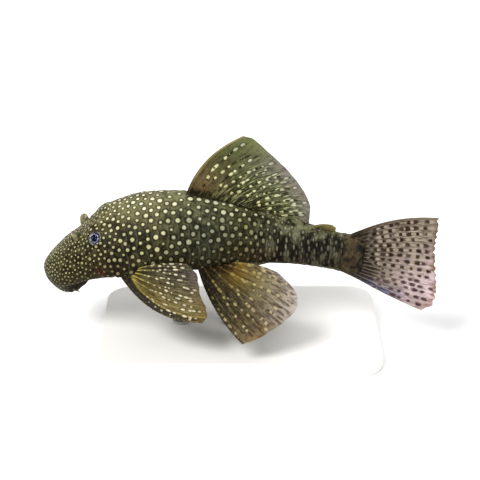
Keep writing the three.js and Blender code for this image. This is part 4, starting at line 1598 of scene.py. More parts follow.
@dataclass(frozen=True)
class FinFinish:
    """Fin skin: a ground that changes from root to margin and from front to rear, and its marks.

    Attributes:
        name: The material's name.
        front, rear: Ramps of the ground, from the root to the margin, of the first and last rays.
        ray, ray_strength: The rays' tint.
        mark, mark_strength: A ramp of the marks' colour from root to margin.
        gap, gap_strength: The dark round each mark.
        streak, streak_strength: Fine streaks along the fin, and the web between the rays.
        spine: A ramp for the spine.
        glow, glow_strength, glow_reach: A tint of the rays near the root, and how far out it goes.
        halo_width: How far the dark round a mark goes, in sizes of the mark.
        second_mark: The colour of marks of the second kind.
        tone_share: How much the marks differ in strength.
        last: A ramp for the last rays.
        turnover: Where across the fin the front ramp starts and ends to turn into the rear one.
        stroke, stroke_strength, stroke_rays, stroke_reach: Pale strokes along the rays, where
            across the fin they come in, and where along it they start, are full, fade and end.
        last_mark: The marks' colour on the last rays.
        softness: How soft the marks' edges are.
        stripe, stripe_strength: A stripe beside the spine.
        grain_scale, cloud_scale, bump_depth: Of the noise, in waves a metre, and of the relief.
    """

    name: str
    front: Stops
    rear: Stops
    ray: str
    ray_strength: float
    mark: Stops
    mark_strength: float
    gap: str
    gap_strength: float
    streak_strength: float = 0.5
    streak: str = "#211a0c"
    spine: Optional[Stops] = None
    glow: str = "#000000"
    glow_strength: float = 0.0
    glow_reach: float = 0.4
    halo_width: float = 2.2
    second_mark: str = "#1a1408"
    tone_share: float = 0.45
    last: Optional[Stops] = None
    turnover: Span = (0.15, 0.85)
    stroke: str = "#8a8358"
    stroke_strength: float = 0.0
    stroke_rays: Span = (0.0, 0.05)
    stroke_reach: Plateau = (0.02, 0.14, 0.75, 1.0)
    last_mark: Optional[str] = None
    softness: float = 0.3
    stripe: str = "#8a7434"
    stripe_strength: float = 0.0
    grain_scale: float = 1100
    cloud_scale: float = 260
    bump_depth: float = 0.00005

    def make(self) -> bpy.types.Material:
        """Builds the material: the ground, the marks over it, and pale and dark grain over both.

        Returns:
            The material.
        """
        bench = Bench(self.name)
        place = bench.place()
        ray, reach = bench.attribute("ray"), bench.attribute("reach")
        grain = bench.noise(place, self.grain_scale, 3, 0.6)
        cloud = bench.noise(place, self.cloud_scale, 3, 0.55)
        fine = bench.noise(bench.joined(ray * 34, reach * 9, cloud * 0.6), 1.0, 2, 0.55)
        colour = self._marked(bench, self._ground(bench, ray, reach, cloud, fine), ray, reach, grain)
        colour = bench.mix((grain - 0.5).most(0) * 0.6, colour, "#8b8160")
        colour = bench.mix((0.5 - grain).most(0) * 1.2, colour, "#0f0b04")
        return bench.finish({
            "Base Color": colour, "Roughness": 0.44 + grain * 0.14, "Specular IOR Level": 0.05,
            "Normal": bench.bump(fine * 0.6 + grain * 0.4, self.bump_depth, 0.5),
        })

    def _ground(self, bench: Bench, ray: Wire, reach: Wire, cloud: Wire, fine: Wire) -> Value:
        """The front and rear ramps, mixed by the place across the fin, with tinted rays, streaks,
        strokes, the glow near the root, and ramps of their own for the spine and the last rays.

        Args:
            bench: The material's bench.
            ray: The place across the fin.
            reach: The share of the way from root to margin.
            cloud: Coarse noise.
            fine: Fine streaks along the rays.

        Returns:
            The colour.
        """
        ridge = bench.attribute("ridge")
        at = reach + (cloud - 0.5) * 0.16 + (fine - 0.5) * 0.14
        ground = bench.mix(ray.step(*self.turnover), bench.ramp(at, self.front), bench.ramp(at, self.rear))
        if self.last is not None:
            ground = bench.mix(ray.step(0.84, 0.97), ground, bench.ramp(at, self.last))
        tinted = ridge * self.ray_strength * (0.6 + fine * 0.6) * (0.35 + reach.step(0.12, 0.4) * 0.65)
        lines = bench.noise(bench.joined(ray * 95, reach * 8, 0.5), 1.0, 2, 0.6)
        shown = reach.window(*self.stroke_reach) * ray.step(*self.stroke_rays) * self.stroke_strength
        between = (1 - ridge) * (1 - reach.step(0.1, 0.85))
        near = ridge * fine.step(0.3, 0.6) * (1 - reach.step(self.glow_reach * 0.4, self.glow_reach))
        for factor, tone in (
            (fine.step(0.42, 0.7) * self.streak_strength, self.streak),
            (tinted, self.ray),
            (lines.step(0.53, 0.66) * shown, self.stroke),
            (lines.step(0.47, 0.35) * shown, self.streak),
            (between * self.streak_strength * 0.7, self.streak),
            (near * self.glow_strength, self.glow),
        ):
            ground = bench.mix(factor, ground, tone)
        if self.spine is not None:
            ground = bench.mix(bench.attribute("stripe") * self.stripe_strength, ground, self.stripe)
            ground = bench.mix(bench.attribute("spine"), ground, bench.ramp(at, self.spine))
        return ground

    def _marked(self, bench: Bench, ground: Value, ray: Wire, reach: Wire, grain: Wire) -> Value:
        """Lays the marks over a ground, each an ellipse round the middle that its faces know, in a
        dark halo. The tone of a mark of the second kind is 2 and more.

        Args:
            bench: The material's bench.
            ground: The colour below.
            ray: The place across the fin.
            reach: The share of the way from root to margin.
            grain: Fine noise.

        Returns:
            The colour.
        """
        away = bench.vector("SUBTRACT", bench.place(), bench.attribute_vector("mark_middle"))
        along = bench.measure("DOT_PRODUCT", away, bench.attribute_vector("mark_axis"))
        length, width, tone = bench.parts(bench.attribute_vector("mark_size"))
        square = bench.measure("DOT_PRODUCT", away, away) - along * along
        long = along / (length * MM)
        wide = square.most(0) / (width * width * (MM * MM))
        distance = (long * long + wide) ** 0.5 + (grain - 0.5) * 0.55
        second = tone.step(1.4, 1.6)
        halo = (1 - distance.step(1.0, self.halo_width)) * (1 - second) * self.gap_strength
        strength = 1.1 - (tone - second * 2) * self.tone_share
        disc = 1 - distance.step(0.9 - self.softness, 0.95 + self.softness)
        paint = bench.ramp(reach, self.mark)
        if self.last_mark is not None:
            paint = bench.mix(ray.step(0.5, 0.8), paint, self.last_mark)
        paint = bench.mix(second, paint, self.second_mark)
        return bench.mix(disc * strength * self.mark_strength, bench.mix(halo, ground, self.gap), paint)


@dataclass
class Fin:
    """A vane between a spine, at 0, and a last ray, at 1, from its root to its margin.

    Rays stand proud on both faces, fork twice on their way out and are ringed by fine joints. The
    margin falls back a little between them.

    Attributes:
        name, node: The piece's name and the solid that it replaces.
        rays: How many rays there are, the spine among them.
        sweep: How far the rays bend in the fin's flat, as (place across, share of their length).
        finish, marks: Its skin and the marks on it.
        bow: How far it bows out of its flat, in millimetres, as are all widths and thicknesses.
        spine_width, spine_thick, ray_width, ray_thick, web: Sizes at the root.
        spine_taper, spine_thinning, ray_taper, ray_thinning: How much of them is lost on the way to
            the tip.
        thinnest: The least thickness.
        foot, foot_reach: How much thicker it is at its root, and how far out.
        margin: Where it thins towards its margin.
        scallop: How far the margin falls back between the rays.
        forks, fork_length, fork_spread: Where the rays fork, over what length, and how far.
        columns_a_ray, rows: How fine the mesh is.
        joint_pitch, joint_depth, joint_start: The joints' distance and depth, and the first one.
        spine_marks: Marks on the spine.
        band: How wide the spine's colour is.
        prickles, prickle_length, prickle_radius, prickle_sunk: The prickles on the spine.
        prickle_reach, prickle_turn, prickle_lean: Where they stand along and round the spine, and
            how far they lean out, each as the least and the range of a draw.
        rough_width: About how wide the fin is, to set the prickles' middle line.
        seed: For the random draws.
    """

    name: str
    node: str
    rays: int
    sweep: Pairs
    finish: FinFinish
    marks: tuple[Dashes, ...]
    bow: float = 1.2
    spine_width: float = 1.4
    spine_thick: float = 1.4
    spine_taper: float = 0.55
    spine_thinning: float = 0.7
    ray_width: float = 0.62
    ray_thick: float = 0.62
    ray_taper: float = 0.45
    web: float = 0.3
    ray_thinning: float = 0.62
    thinnest: float = 0.05
    foot: float = 0.9
    foot_reach: float = 0.14
    margin: Span = (0.9, 1.0)
    scallop: float = 0.012
    forks: Span = (0.3, 0.62)
    fork_length: float = 0.35
    fork_spread: Span = (0.25, 0.12)
    columns_a_ray: int = 16
    rows: int = 96
    joint_pitch: float = 0.6
    joint_depth: float = 0.16
    joint_start: float = 0.15
    spine_marks: Optional[Dashes] = None
    band: float = 0.0
    prickles: int = 0
    prickle_length: float = 0.8
    prickle_radius: float = 0.1
    prickle_reach: Span = (0.3, 0.66)
    prickle_turn: Span = (0.2, 0.3)
    prickle_lean: Span = (0.35, 0.3)
    prickle_sunk: float = 0.85
    rough_width: float = 30.0
    seed: int = 3

    def root(self, across: np.ndarray) -> np.ndarray:
        """Where the rays start, for places across the fin."""
        raise NotImplementedError

    def tip(self, across: np.ndarray) -> np.ndarray:
        """Where the rays end."""
        raise NotImplementedError

    def normal(self) -> np.ndarray:
        """The direction out of the fin's flat."""
        raise NotImplementedError

    def bend(self, points: np.ndarray) -> np.ndarray:
        """Carries the fin's points into the pose."""
        raise NotImplementedError

    def belly(self, across: np.ndarray, reach: np.ndarray) -> np.ndarray:
        """How far the fin bows out of its flat, in millimetres."""
        raise NotImplementedError

    def sway(self, across: np.ndarray) -> np.ndarray:
        """How far each ray bends in the flat, as a share of its length."""
        return Curve(self.sweep)(across)

    def sheet(self, across: np.ndarray, reach: np.ndarray) -> np.ndarray:
        """Middle of the vane: a straight line from root to tip, with a parabola's sweep in the flat
        and the bow out of it.

        Args:
            across: Places across the fin.
            reach: Shares of the way from root to margin.

        Returns:
            Points, not yet in the pose.
        """
        root, tip = self.root(across), self.tip(across)
        between = np.sin(np.pi * np.clip(across, 0, 1) * (self.rays - 1)) ** 2
        between = between * (1 + 0.7 * np.sin(37 * across + 2 * np.sin(17 * across)))
        line = tip - root
        reach_in = reach * (1 - self.scallop * between * reach**4)
        sideways = np.cross(line, self.normal()) * (self.sway(across) * 4 * reach * (1 - reach))[..., None]
        middle = root + line * reach_in[..., None] + sideways
        return middle + self.normal() * self.belly(across, reach)[..., None]

    def lines(self, reach: np.ndarray) -> np.ndarray:
        """Places across the fin of every branch, shape (rays - 1, 4, ...), at distances along.

        Args:
            reach: Shares of the way from root to margin.

        Returns:
            The places, no further than the last ray.
        """
        spacing = 1 / (self.rays - 1)
        near = [smooth(reach, fork, fork + self.fork_length) for fork in self.forks]
        branches = []
        for first in (-1, 1):
            for second in (-1, 1):
                spread = first * self.fork_spread[0] * near[0] + second * self.fork_spread[1] * near[1]
                branches.append(spread * spacing)
        middles = np.arange(1, self.rays) * spacing
        middles[-1] -= 0.12 * spacing
        lines = middles[:, None, None, None] + np.array(branches)[None]
        return np.minimum(lines, 1 - 0.06 * spacing)

    def grid(self) -> tuple[np.ndarray, np.ndarray]:
        """Places across and along the vane, closer together at the spine and the root.

        Returns:
            Two arrays, (columns, rows).
        """
        across = np.linspace(0, 1, (self.rays - 1) * self.columns_a_ray + 1)
        spine = np.linspace(0, 1 / (self.rays - 1), self.columns_a_ray + 9)[:-1]
        across = np.concatenate([spine, across[self.columns_a_ray:]])
        reach = np.linspace(0, 1, self.rows)
        return np.broadcast_arrays(across[:, None], reach[None])

    def _ridges(self, across: np.ndarray, reach: np.ndarray, spread: np.ndarray) -> np.ndarray:
        """Half circles over the nearest branch of a ray, which get slimmer behind the first fork.

        Args:
            across: Places across the fin.
            reach: Shares of the way from root to margin.
            spread: Millimetres for a unit across the fin.

        Returns:
            From 0 between the rays to 1 on their crests.
        """
        away = np.abs(across[None, None] - self.lines(reach)) * spread
        slim = 1 - 0.5 * smooth(reach, self.forks[0], self.forks[0] + self.fork_length)
        half_width = self.ray_width / 2 * slim * (1 - self.ray_taper * reach)
        half_width = np.minimum(half_width, 0.42 * (spread / (self.rays - 1)))
        return np.clip(1 - (away / np.maximum(half_width, TINY)) ** 2, 0, 1).max((0, 1)) ** 0.5

    def _thickness(
        self, across: np.ndarray, reach: np.ndarray, ridge: np.ndarray, spine: np.ndarray
    ) -> np.ndarray:
        """The vane's thickness: a web that thins towards the margin, with the rays and their joints
        on it, the spine beside them, and the thicker foot in the body.

        Args:
            across: Places across the fin.
            reach: Shares of the way from root to margin.
            ridge: The rays' profile.
            spine: The spine's profile.

        Returns:
            Millimetres.
        """
        length = np.linalg.norm(self.tip(across) - self.root(across), axis=-1)
        ripple = 0.5 + 0.5 * np.cos(2 * np.pi * reach * length / self.joint_pitch)
        joints = 1 - self.joint_depth * ripple * (reach > self.joint_start)
        margin = 1 - smooth(reach, *self.margin)
        thick = self.web * (1 - 0.5 * reach) * (0.25 + 0.75 * margin)
        proud = (self.ray_thick - self.web) * ridge * joints * (1 - self.ray_thinning * reach)
        thick = thick + proud * (0.3 + 0.7 * margin) * smooth(reach, 0.0, 0.04)
        thick = np.maximum(thick, self.spine_thick * spine * (1 - self.spine_thinning * reach))
        thick = thick + self.foot * bell(reach, self.foot_reach)
        front_edge = np.minimum(1, 0.3 + 12 * across)
        return np.maximum(thick * np.where(spine > 0, 1, front_edge), self.thinnest)

    def shell(self) -> Shell:
        """The closed vane, with its rays, attributes and marks.

        Returns:
            The surface.
        """
        across, reach = self.grid()
        middle = self.sheet(across, reach)
        spread = np.linalg.norm(np.gradient(middle, axis=0), axis=-1)
        spread = spread / np.maximum(np.abs(np.gradient(across, axis=0)), TINY)
        from_front = across * spread
        spine_width = self.spine_width * (1 - self.spine_taper * reach)
        spine = np.clip(1 - (2 * from_front / spine_width - 1) ** 2, 0, 1) ** 0.5
        spine *= from_front < spine_width
        ridge = self._ridges(across, reach, spread)
        half = self.normal() * self._thickness(across, reach, ridge, spine)[..., None] / 2
        ring = np.concatenate([self.bend(middle + half), self.bend(middle - half)[:, ::-1]], 1)
        shell = Shell.grid(ring, closed=True, caps=False)
        start, last = np.arange(self.rows - 1), 2 * self.rows - 1
        index = np.arange(ring.shape[0] * ring.shape[1]).reshape(ring.shape[:2])
        for row, way in ((index[0], 1), (index[-1], -1)):
            cap = np.stack([row[start], row[start + 1], row[last - 1 - start], row[last - start]], -1)
            shell.faces += cap[:, ::way].tolist()
        band = np.maximum(self.band * (1 - 0.15 * reach), spine_width)
        for name, values in (
            ("ray", across), ("reach", reach), ("ridge", np.maximum(ridge, spine)),
            ("spine", 1 - smooth(from_front, band - 0.2, band + 0.2)),
            ("stripe", bell(from_front - band - 0.3, 0.45)),
        ):
            shell.attributes[name] = ("POINT", np.concatenate([values, values[:, ::-1]], 1).ravel())
        self._add_marks(shell)
        return shell.outward()

    def _along_line(
        self, dashes: Dashes, line: Callable, shift: float, draw: np.random.Generator
    ) -> tuple[np.ndarray, ...]:
        """Marks along a line over the fin.

        Args:
            dashes: Their sizes.
            line: From reach to the place across the fin.
            shift: How much later along the line they stand, in pitches.
            draw: The random draw.

        Returns:
            Middles and axes (n, 3), and half length, half width and tone (n, 3).
        """
        ends = np.array([0.0, 1.0])
        length = float(np.linalg.norm(np.diff(self.sheet(line(ends), ends), axis=0)))
        count = max(int(length * (dashes.end - dashes.start) / dashes.pitch), 1)
        steps = np.arange(count) + shift + draw.normal(0, dashes.drift, count)
        reach = dashes.start + steps * dashes.pitch / length
        shown = (reach < dashes.end) & (draw.random(count) > dashes.skipped)
        shown[0] = True
        reach = reach[shown]
        at = self.bend(self.sheet(line(reach), reach))
        ahead = self.bend(self.sheet(line(reach + 0.01), reach + 0.01))
        grown = 1 + dashes.widening * (reach - 0.5)
        scale = np.clip(draw.normal(1, dashes.unevenness, len(reach)), 0.5, 1.6)
        long, broad = dashes.length / 2 * grown * scale, dashes.width / 2 * grown * scale**0.5
        tone = draw.random(len(reach)) + 2 * dashes.second
        return at, unit(ahead - at), np.stack([long, broad, tone], -1)

    def _branch(self, ray: int, branch: int, reach: np.ndarray) -> np.ndarray:
        """The place across the fin of one branch of a ray."""
        return self.lines(reach[None])[ray, branch, 0]

    def _spine_middle(self, reach: np.ndarray) -> np.ndarray:
        """The place across the fin that lies in the middle of the spine's colour.

        Args:
            reach: Shares of the way from root to margin.

        Returns:
            Places across the fin.
        """
        centre = 0.5 * max(self.spine_width, self.band)
        ends = (self.sheet(np.full_like(reach, place), reach) for place in (0.0, 0.3))
        return np.clip(0.3 * centre / np.linalg.norm(np.subtract(*ends), axis=-1), 0, 0.3)

    def _add_marks(self, shell: Shell) -> None:
        """Sets the marks along the rays, and gives every face its nearest one.

        Args:
            shell: The surface.
        """
        draw = np.random.default_rng(self.seed)
        found = []
        for dashes in self.marks:
            low, high = (int(round(share * (self.rays - 1))) for share in dashes.rays)
            for ray in range(low, high):
                shift = 0.5 + dashes.phase + 0.5 * dashes.shuffle * np.sin(2.4 * ray + 1)
                for branch in dashes.branches:
                    later = shift + 0.15 * branch * dashes.shuffle
                    found.append(self._along_line(dashes, partial(self._branch, ray, branch), later, draw))
        if self.spine_marks is not None:
            found.append(self._along_line(self.spine_marks, self._spine_middle, 0.5, draw))
        middles, axes, sizes = (np.concatenate(parts) for parts in zip(*found))
        number = nearest(shell.middles(), middles, sizes, axes)
        shell.attributes["mark_middle"] = ("FACE", middles[number] * MM)
        shell.attributes["mark_axis"] = ("FACE", axes[number])
        shell.attributes["mark_size"] = ("FACE", sizes[number])
        LOG.info("%s: %d marks", self.name, len(middles))

    def spine_prickles(self) -> Shell:
        """Short hooked prickles on the outer half of the spine, longer towards its tip.

        Returns:
            The prickles as one shell.
        """
        draw = np.random.default_rng(self.seed + 100)
        (start, span), (flat, steeper) = self.prickle_reach, self.prickle_turn
        lean, more = self.prickle_lean
        reach = start + span * np.sqrt(draw.random(self.prickles))
        face = np.where(draw.random(self.prickles) < 0.5, 1, -1)
        angle = face * np.pi * (flat + steeper * draw.random(self.prickles))
        centre = np.full(self.prickles, 0.5 * self.spine_width / self.rough_width)
        middle = self.sheet(centre, reach)
        axis = unit(self.sheet(centre, reach + 0.01) - middle)
        normal = self.normal()
        forwards = unit(np.cross(axis, normal))
        forwards *= np.sign((forwards * (middle - self.sheet(centre + 0.05, reach))).sum(-1, keepdims=True))
        wide = (self.spine_width * (1 - self.spine_taper * reach) / 2)[:, None]
        thick = (self.spine_thick * (1 - self.spine_thinning * reach) / 2)[:, None]
        ahead, above = np.cos(angle)[:, None], np.sin(angle)[:, None]
        roots = middle + self.prickle_sunk * (forwards * ahead * wide + normal * above * thick)
        out = unit(forwards * ahead / wide + normal * above / thick)
        lines = unit(axis + out * (lean + more * draw.random((self.prickles, 1))))
        length = self.prickle_length * (0.35 + 0.65 * reach) * (0.7 + 0.5 * draw.random(self.prickles))
        roots, onward, outer = self.bend(np.stack([roots, roots + lines, roots + out]))
        radius = np.full(self.prickles, self.prickle_radius)
        return spine_shell(roots, unit(onward - roots), unit(outer - roots), length, radius)

    def build(self) -> None:
        """Makes the fin's piece, and its prickles where it has any."""
        self.shell().piece(self.name, self.finish.make(), "fins", self.node)
        if self.prickles:
            name = f"{self.node}_prickle_skin"
            finish = MottledFinish(name, "#5f5436", "#a39871", "#cbc3a4", 0.4, 900, roughness=0.4)
            self.spine_prickles().piece(f"{self.node}_prickles", finish.make(), "fins")


@dataclass
class MiddleFin(Fin):
    """A fin on the middle plane: roots and tips as (place across, station, percent high)."""

    roots: Pairs = ()
    tips: Pairs = ()
    pose: Pose = field(default_factory=Pose)
    lean: float = 0.0
    wave_start: float = 0.25

    def _in_plane(self, pairs: Pairs, across: np.ndarray) -> np.ndarray:
        """Points of the middle plane from (place across, station, percent high) rows.

        Args:
            pairs: The rows.
            across: Places across the fin.

        Returns:
            Straight points.
        """
        station, height = (column(across) for column in curves(pairs))
        return np.stack([percent(station), np.zeros_like(station), percent(height)], -1)

    def root(self, across: np.ndarray) -> np.ndarray:
        """Where the rays start."""
        return self._in_plane(self.roots, across)

    def tip(self, across: np.ndarray) -> np.ndarray:
        """Where the rays end."""
        return self._in_plane(self.tips, across)

    def normal(self) -> np.ndarray:
        """To the fish's left."""
        return np.array([0.0, 1.0, 0.0])

    def bend(self, points: np.ndarray) -> np.ndarray:
        """Bent with the body."""
        return self.pose.bend(points)

    def belly(self, across: np.ndarray, reach: np.ndarray) -> np.ndarray:
        """Half a wave from front to rear that grows with the square of the reach, and the lean."""
        return self.lean * reach + self.bow * reach**2 * np.sin(np.pi * (self.wave_start + across))


@dataclass
class PairedFin(Fin):
    """A paired fin: its root runs over the body between two (station, turn) places, and its tips
    lie in a plane through the root of its spine, in percent along the spine and across.

    The plane's lines are given towards the tail, outwards and up.
    """

    body: Body = field(default_factory=Body)
    side: Side = Side.LEFT
    start: Span = (0.0, 0.0)
    end: Span = (0.0, 0.0)
    sunk: float = 1.5
    spine_line: Triple = (1.0, 0.0, 0.0)
    inner_line: Triple = (1.0, 0.0, 0.0)
    tips: Pairs = ()

    def __post_init__(self) -> None:
        """Works out the plane's origin and directions."""
        sign = self.side.value
        back, left, up = self.body.pose.directions(np.array(percent(self.start[0])))
        frame_lines = np.stack([back, left * sign, up])
        self.along_spine = unit(np.array(self.spine_line) @ frame_lines)
        inner = unit(np.array(self.inner_line) @ frame_lines)
        self.across_rays = unit(inner - self.along_spine * (inner @ self.along_spine))
        self.flat = np.cross(self.along_spine, self.across_rays) * sign
        self.origin = self.body.skin(np.array(percent(self.start[0])), np.array(sign * self.start[1] * np.pi))

    def root(self, across: np.ndarray) -> np.ndarray:
        """On a line over the skin, a little below it."""
        station, turn = (first + (last - first) * across for first, last in zip(self.start, self.end))
        return self.body.skin(percent(station), self.side.value * turn * np.pi, -self.sunk)

    def tip(self, across: np.ndarray) -> np.ndarray:
        """In the fin's plane.

        Args:
            across: Places across the fin.

        Returns:
            Points in the pose.
        """
        along, beside = (percent(column(across)) for column in curves(self.tips))
        return self.origin + along[..., None] * self.along_spine + beside[..., None] * self.across_rays

    def normal(self) -> np.ndarray:
        """Out of the fin's plane."""
        return self.flat

    def bend(self, points: np.ndarray) -> np.ndarray:
        """Already in the pose."""
        return points

    def sway(self, across: np.ndarray) -> np.ndarray:
        """Mirrored on the right side."""
        return self.side.value * Curve(self.sweep)(across)

    def belly(self, across: np.ndarray, reach: np.ndarray) -> np.ndarray:
        """Half a wave from root to tip that grows towards the last ray."""
        return self.bow * across * np.sin(np.pi * reach)


CREAM: Stops = ((0, "#9a9060"), (0.5, "#a8a074"), (1, "#a69a7c"))


def dorsal_fin(body: Body) -> Fin:
    """The tall dorsal fin, raised and swept back, with pale and dark spots in rows.

    Args:
        body: The fish's body.

    Returns:
        The fin.
    """
    finish = FinFinish(
        "dorsal_membrane",
        front=(
            (0, "#050300"), (0.1, "#0b0802"), (0.17, "#6b5537"), (0.3, "#66583a"), (0.45, "#4e4a2a"),
            (0.75, "#4d5230"), (1, "#62663f"),
        ),
        rear=(
            (0, "#0a0802"), (0.1, "#14130a"), (0.28, "#1f200e"), (0.6, "#50553a"), (0.82, "#6a6758"),
            (1, "#77706a"),
        ),
        ray="#2a2610", ray_strength=0.35,
        mark=((0, "#a39a5c"), (0.35, "#c9c690"), (0.75, "#b3b393"), (1, "#9a998a")), mark_strength=0.95,
        gap="#171403", gap_strength=0.75, streak_strength=0.5, streak="#1a1608",
        spine=(
            (0, "#0d0902"), (0.1, "#2e2410"), (0.3, "#6e5c3c"), (0.6, "#6b5f36"), (0.9, "#8a8358"),
            (1, "#80774f"),
        ),
        glow="#8f8c58", glow_strength=0.3, glow_reach=0.75, halo_width=1.8, second_mark="#1c1a0a",
        stroke="#a3a670", stroke_strength=0.85, stroke_rays=(0.1, 0.5), turnover=(0.08, 0.5),
    )
    marks = (
        Dashes(1.7, 0.95, 2.75, start=0.22, end=0.93, skipped=0.15, drift=0.15, widening=0.0),
        Dashes(
            1.9, 0.55, 2.5, start=0.06, end=0.85, skipped=0.2, drift=0.4, widening=0.6, rays=(0.28, 1),
            branches=(1, 2),
        ),
        Dashes(
            2.1, 0.85, 2.75, start=0.05, end=0.88, skipped=0.1, drift=0.2, widening=0.0, phase=0.5,
            second=True,
        ),
    )
    return MiddleFin(
        "dorsal_fin_skin", "dorsal_fin", 8, [(0, 0.095), (0.3, 0.06), (1, 0.03)], finish, marks,
        roots=[(0, 48.2, 12.2), (1, 71.5, 6.6)],
        tips=[
            (0, 64.2, 33.3), (0.06, 66.5, 33.0), (0.14, 68.9, 31.3), (0.29, 73.2, 27.6), (0.43, 77.1, 24.2),
            (0.57, 80.7, 20.3), (0.71, 83.5, 16.4), (0.86, 85.5, 11.8), (1, 85.8, 6.3),
        ],
        pose=body.pose, bow=1.2, scallop=0.003, forks=(0.1, 0.55), fork_spread=(0.27, 0.12), seed=21,
    )


def adipose_fin(body: Body) -> Fin:
    """The small adipose fin: a stout spine with a web behind it.

    Args:
        body: The fish's body.

    Returns:
        The fin.
    """
    finish = FinFinish(
        "adipose_skin",
        front=((0, "#2a2612"), (0.5, "#5d5430"), (1, "#7a6f44")),
        rear=((0, "#2a2612"), (0.6, "#453f22"), (1, "#5d5430")),
        ray="#7a7048", ray_strength=0.4, mark=CREAM, mark_strength=0.4, gap="#1a180b", gap_strength=0.3,
    )
    return MiddleFin(
        "adipose_fin_skin", "adipose_fin", 2, [(0, 0.12), (1, -0.06)], finish,
        (Dashes(0.9, 0.5, 2.2, start=0.3, branches=(0,)),),
        roots=[(0, 85.0, 4.4), (1, 91.0, 3.4)],
        tips=[(0, 92.8, 7.8), (0.5, 94.2, 7.0), (1, 94.2, 5.0)],
        pose=body.pose, bow=0, scallop=0, forks=(2.0, 2.0), fork_spread=(0, 0), spine_width=1.5,
        spine_thick=1.7, columns_a_ray=40, rows=60, foot=0.7, seed=22,
    )


def caudal_fin(body: Body) -> Fin:
    """The wide caudal fin, pale behind, with rows of dark spots along its rays.

    Args:
        body: The fish's body.

    Returns:
        The fin.
    """
    finish = FinFinish(
        "caudal_membrane",
        front=(
            (0, "#2a2216"), (0.09, "#2a2118"), (0.12, "#090603"), (0.3, "#0b0804"), (0.38, "#352b1f"),
            (0.47, "#43382a"), (0.6, "#524737"), (0.85, "#635849"), (0.95, "#706456"), (1, "#57473a"),
        ),
        rear=(
            (0, "#2a241c"), (0.09, "#2c241e"), (0.12, "#0b0805"), (0.28, "#0f0b08"), (0.37, "#4a4036"),
            (0.47, "#82746a"), (0.7, "#b8a3a3"), (0.94, "#cbb4b8"), (1, "#8a6a54"),
        ),
        ray="#b8a898", ray_strength=0.35,
        mark=((0, "#120b05"), (0.5, "#20160c"), (1, "#2c1d1a")), mark_strength=1.0,
        gap="#a89887", gap_strength=0.2, streak_strength=0.55, streak="#2c221a",
        spine=((0, "#2a2216"), (0.12, "#1a130c"), (0.3, "#40362a"), (0.6, "#574b3c"), (1, "#6c6052")),
        halo_width=2.0, second_mark="#8d8070", tone_share=0.25,
        last=(
            (0, "#1c1816"), (0.2, "#1d1a1c"), (0.34, "#373a52"), (0.55, "#555873"), (0.75, "#9a8890"),
            (1, "#b0928a"),
        ),
        stroke="#c4b4a8", stroke_strength=0.45, stroke_reach=(0.28, 0.42, 0.8, 1.05),
        last_mark="#3f2d33", softness=0.42,
    )
    marks = (
        Dashes(2.3, 1.6, 3.0, 0.25, 0.99, 0.05, 0.12, 0.05, 0.22, shuffle=0.4, rays=(0, 0.63), branches=(0,)),
        Dashes(1.9, 1.3, 3.1, 0.36, 0.99, 0.1, 0.14, 0.1, 0.22, shuffle=0.6, rays=(0.63, 1), branches=(0,)),
        Dashes(
            2.1, 1.2, 3.0, 0.25, 0.95, 0.1, 0.12, 0.1, 0.2, shuffle=0.4, phase=0.5, rays=(0, 0.6),
            branches=(0,), second=True,
        ),
    )
    return MiddleFin(
        "caudal_fin_skin", "caudal_fin", 16, [(0, 0.075), (0.3, 0.03), (0.7, -0.01), (1, -0.02)],
        finish, marks,
        roots=[(0, 97.8, 4.6), (0.2, 98.8, 2.8), (0.8, 98.8, -4.4), (1, 97.8, -6.4)],
        tips=[
            (0, 125.0, 17.4), (0.15, 125.4, 12.7), (0.32, 125.4, 7.6), (0.45, 126.0, 3.6), (0.6, 127.1, -1.8),
            (0.74, 127.7, -6.4), (0.85, 127.9, -9.5), (0.94, 127.2, -13.2), (1, 124.1, -15.6),
        ],
        pose=body.pose, bow=1.5, columns_a_ray=10, rows=110, foot=2.2, ray_width=0.5, ray_thick=0.55,
        seed=23,
    )


def anal_fin(body: Body) -> Fin:
    """The small anal fin, folded back and leaning to the fish's right.

    Args:
        body: The fish's body.

    Returns:
        The fin.
    """
    ground = ((0, "#3a2f1a"), (0.5, "#6a5a3c"), (1, "#9a8a68"))
    finish = FinFinish("anal_membrane", ground, ground, "#8b7c55", 0.4, CREAM, 0.6, "#2a2010", 0.3)
    return MiddleFin(
        "anal_fin_skin", "anal_fin", 5, [(0, -0.05), (1, -0.02)], finish,
        (Dashes(1.0, 0.5, 1.8, start=0.2),),
        roots=[(0, 69.0, -6.6), (1, 74.0, -6.4)],
        tips=[(0, 78.0, -9.4), (0.5, 80.0, -9.2), (1, 80.6, -8.6)],
        pose=body.pose, bow=0.2, lean=-2.6, spine_width=0.8, spine_thick=1.0, ray_width=0.4, foot=0.5,
        rows=60, seed=24,
    )


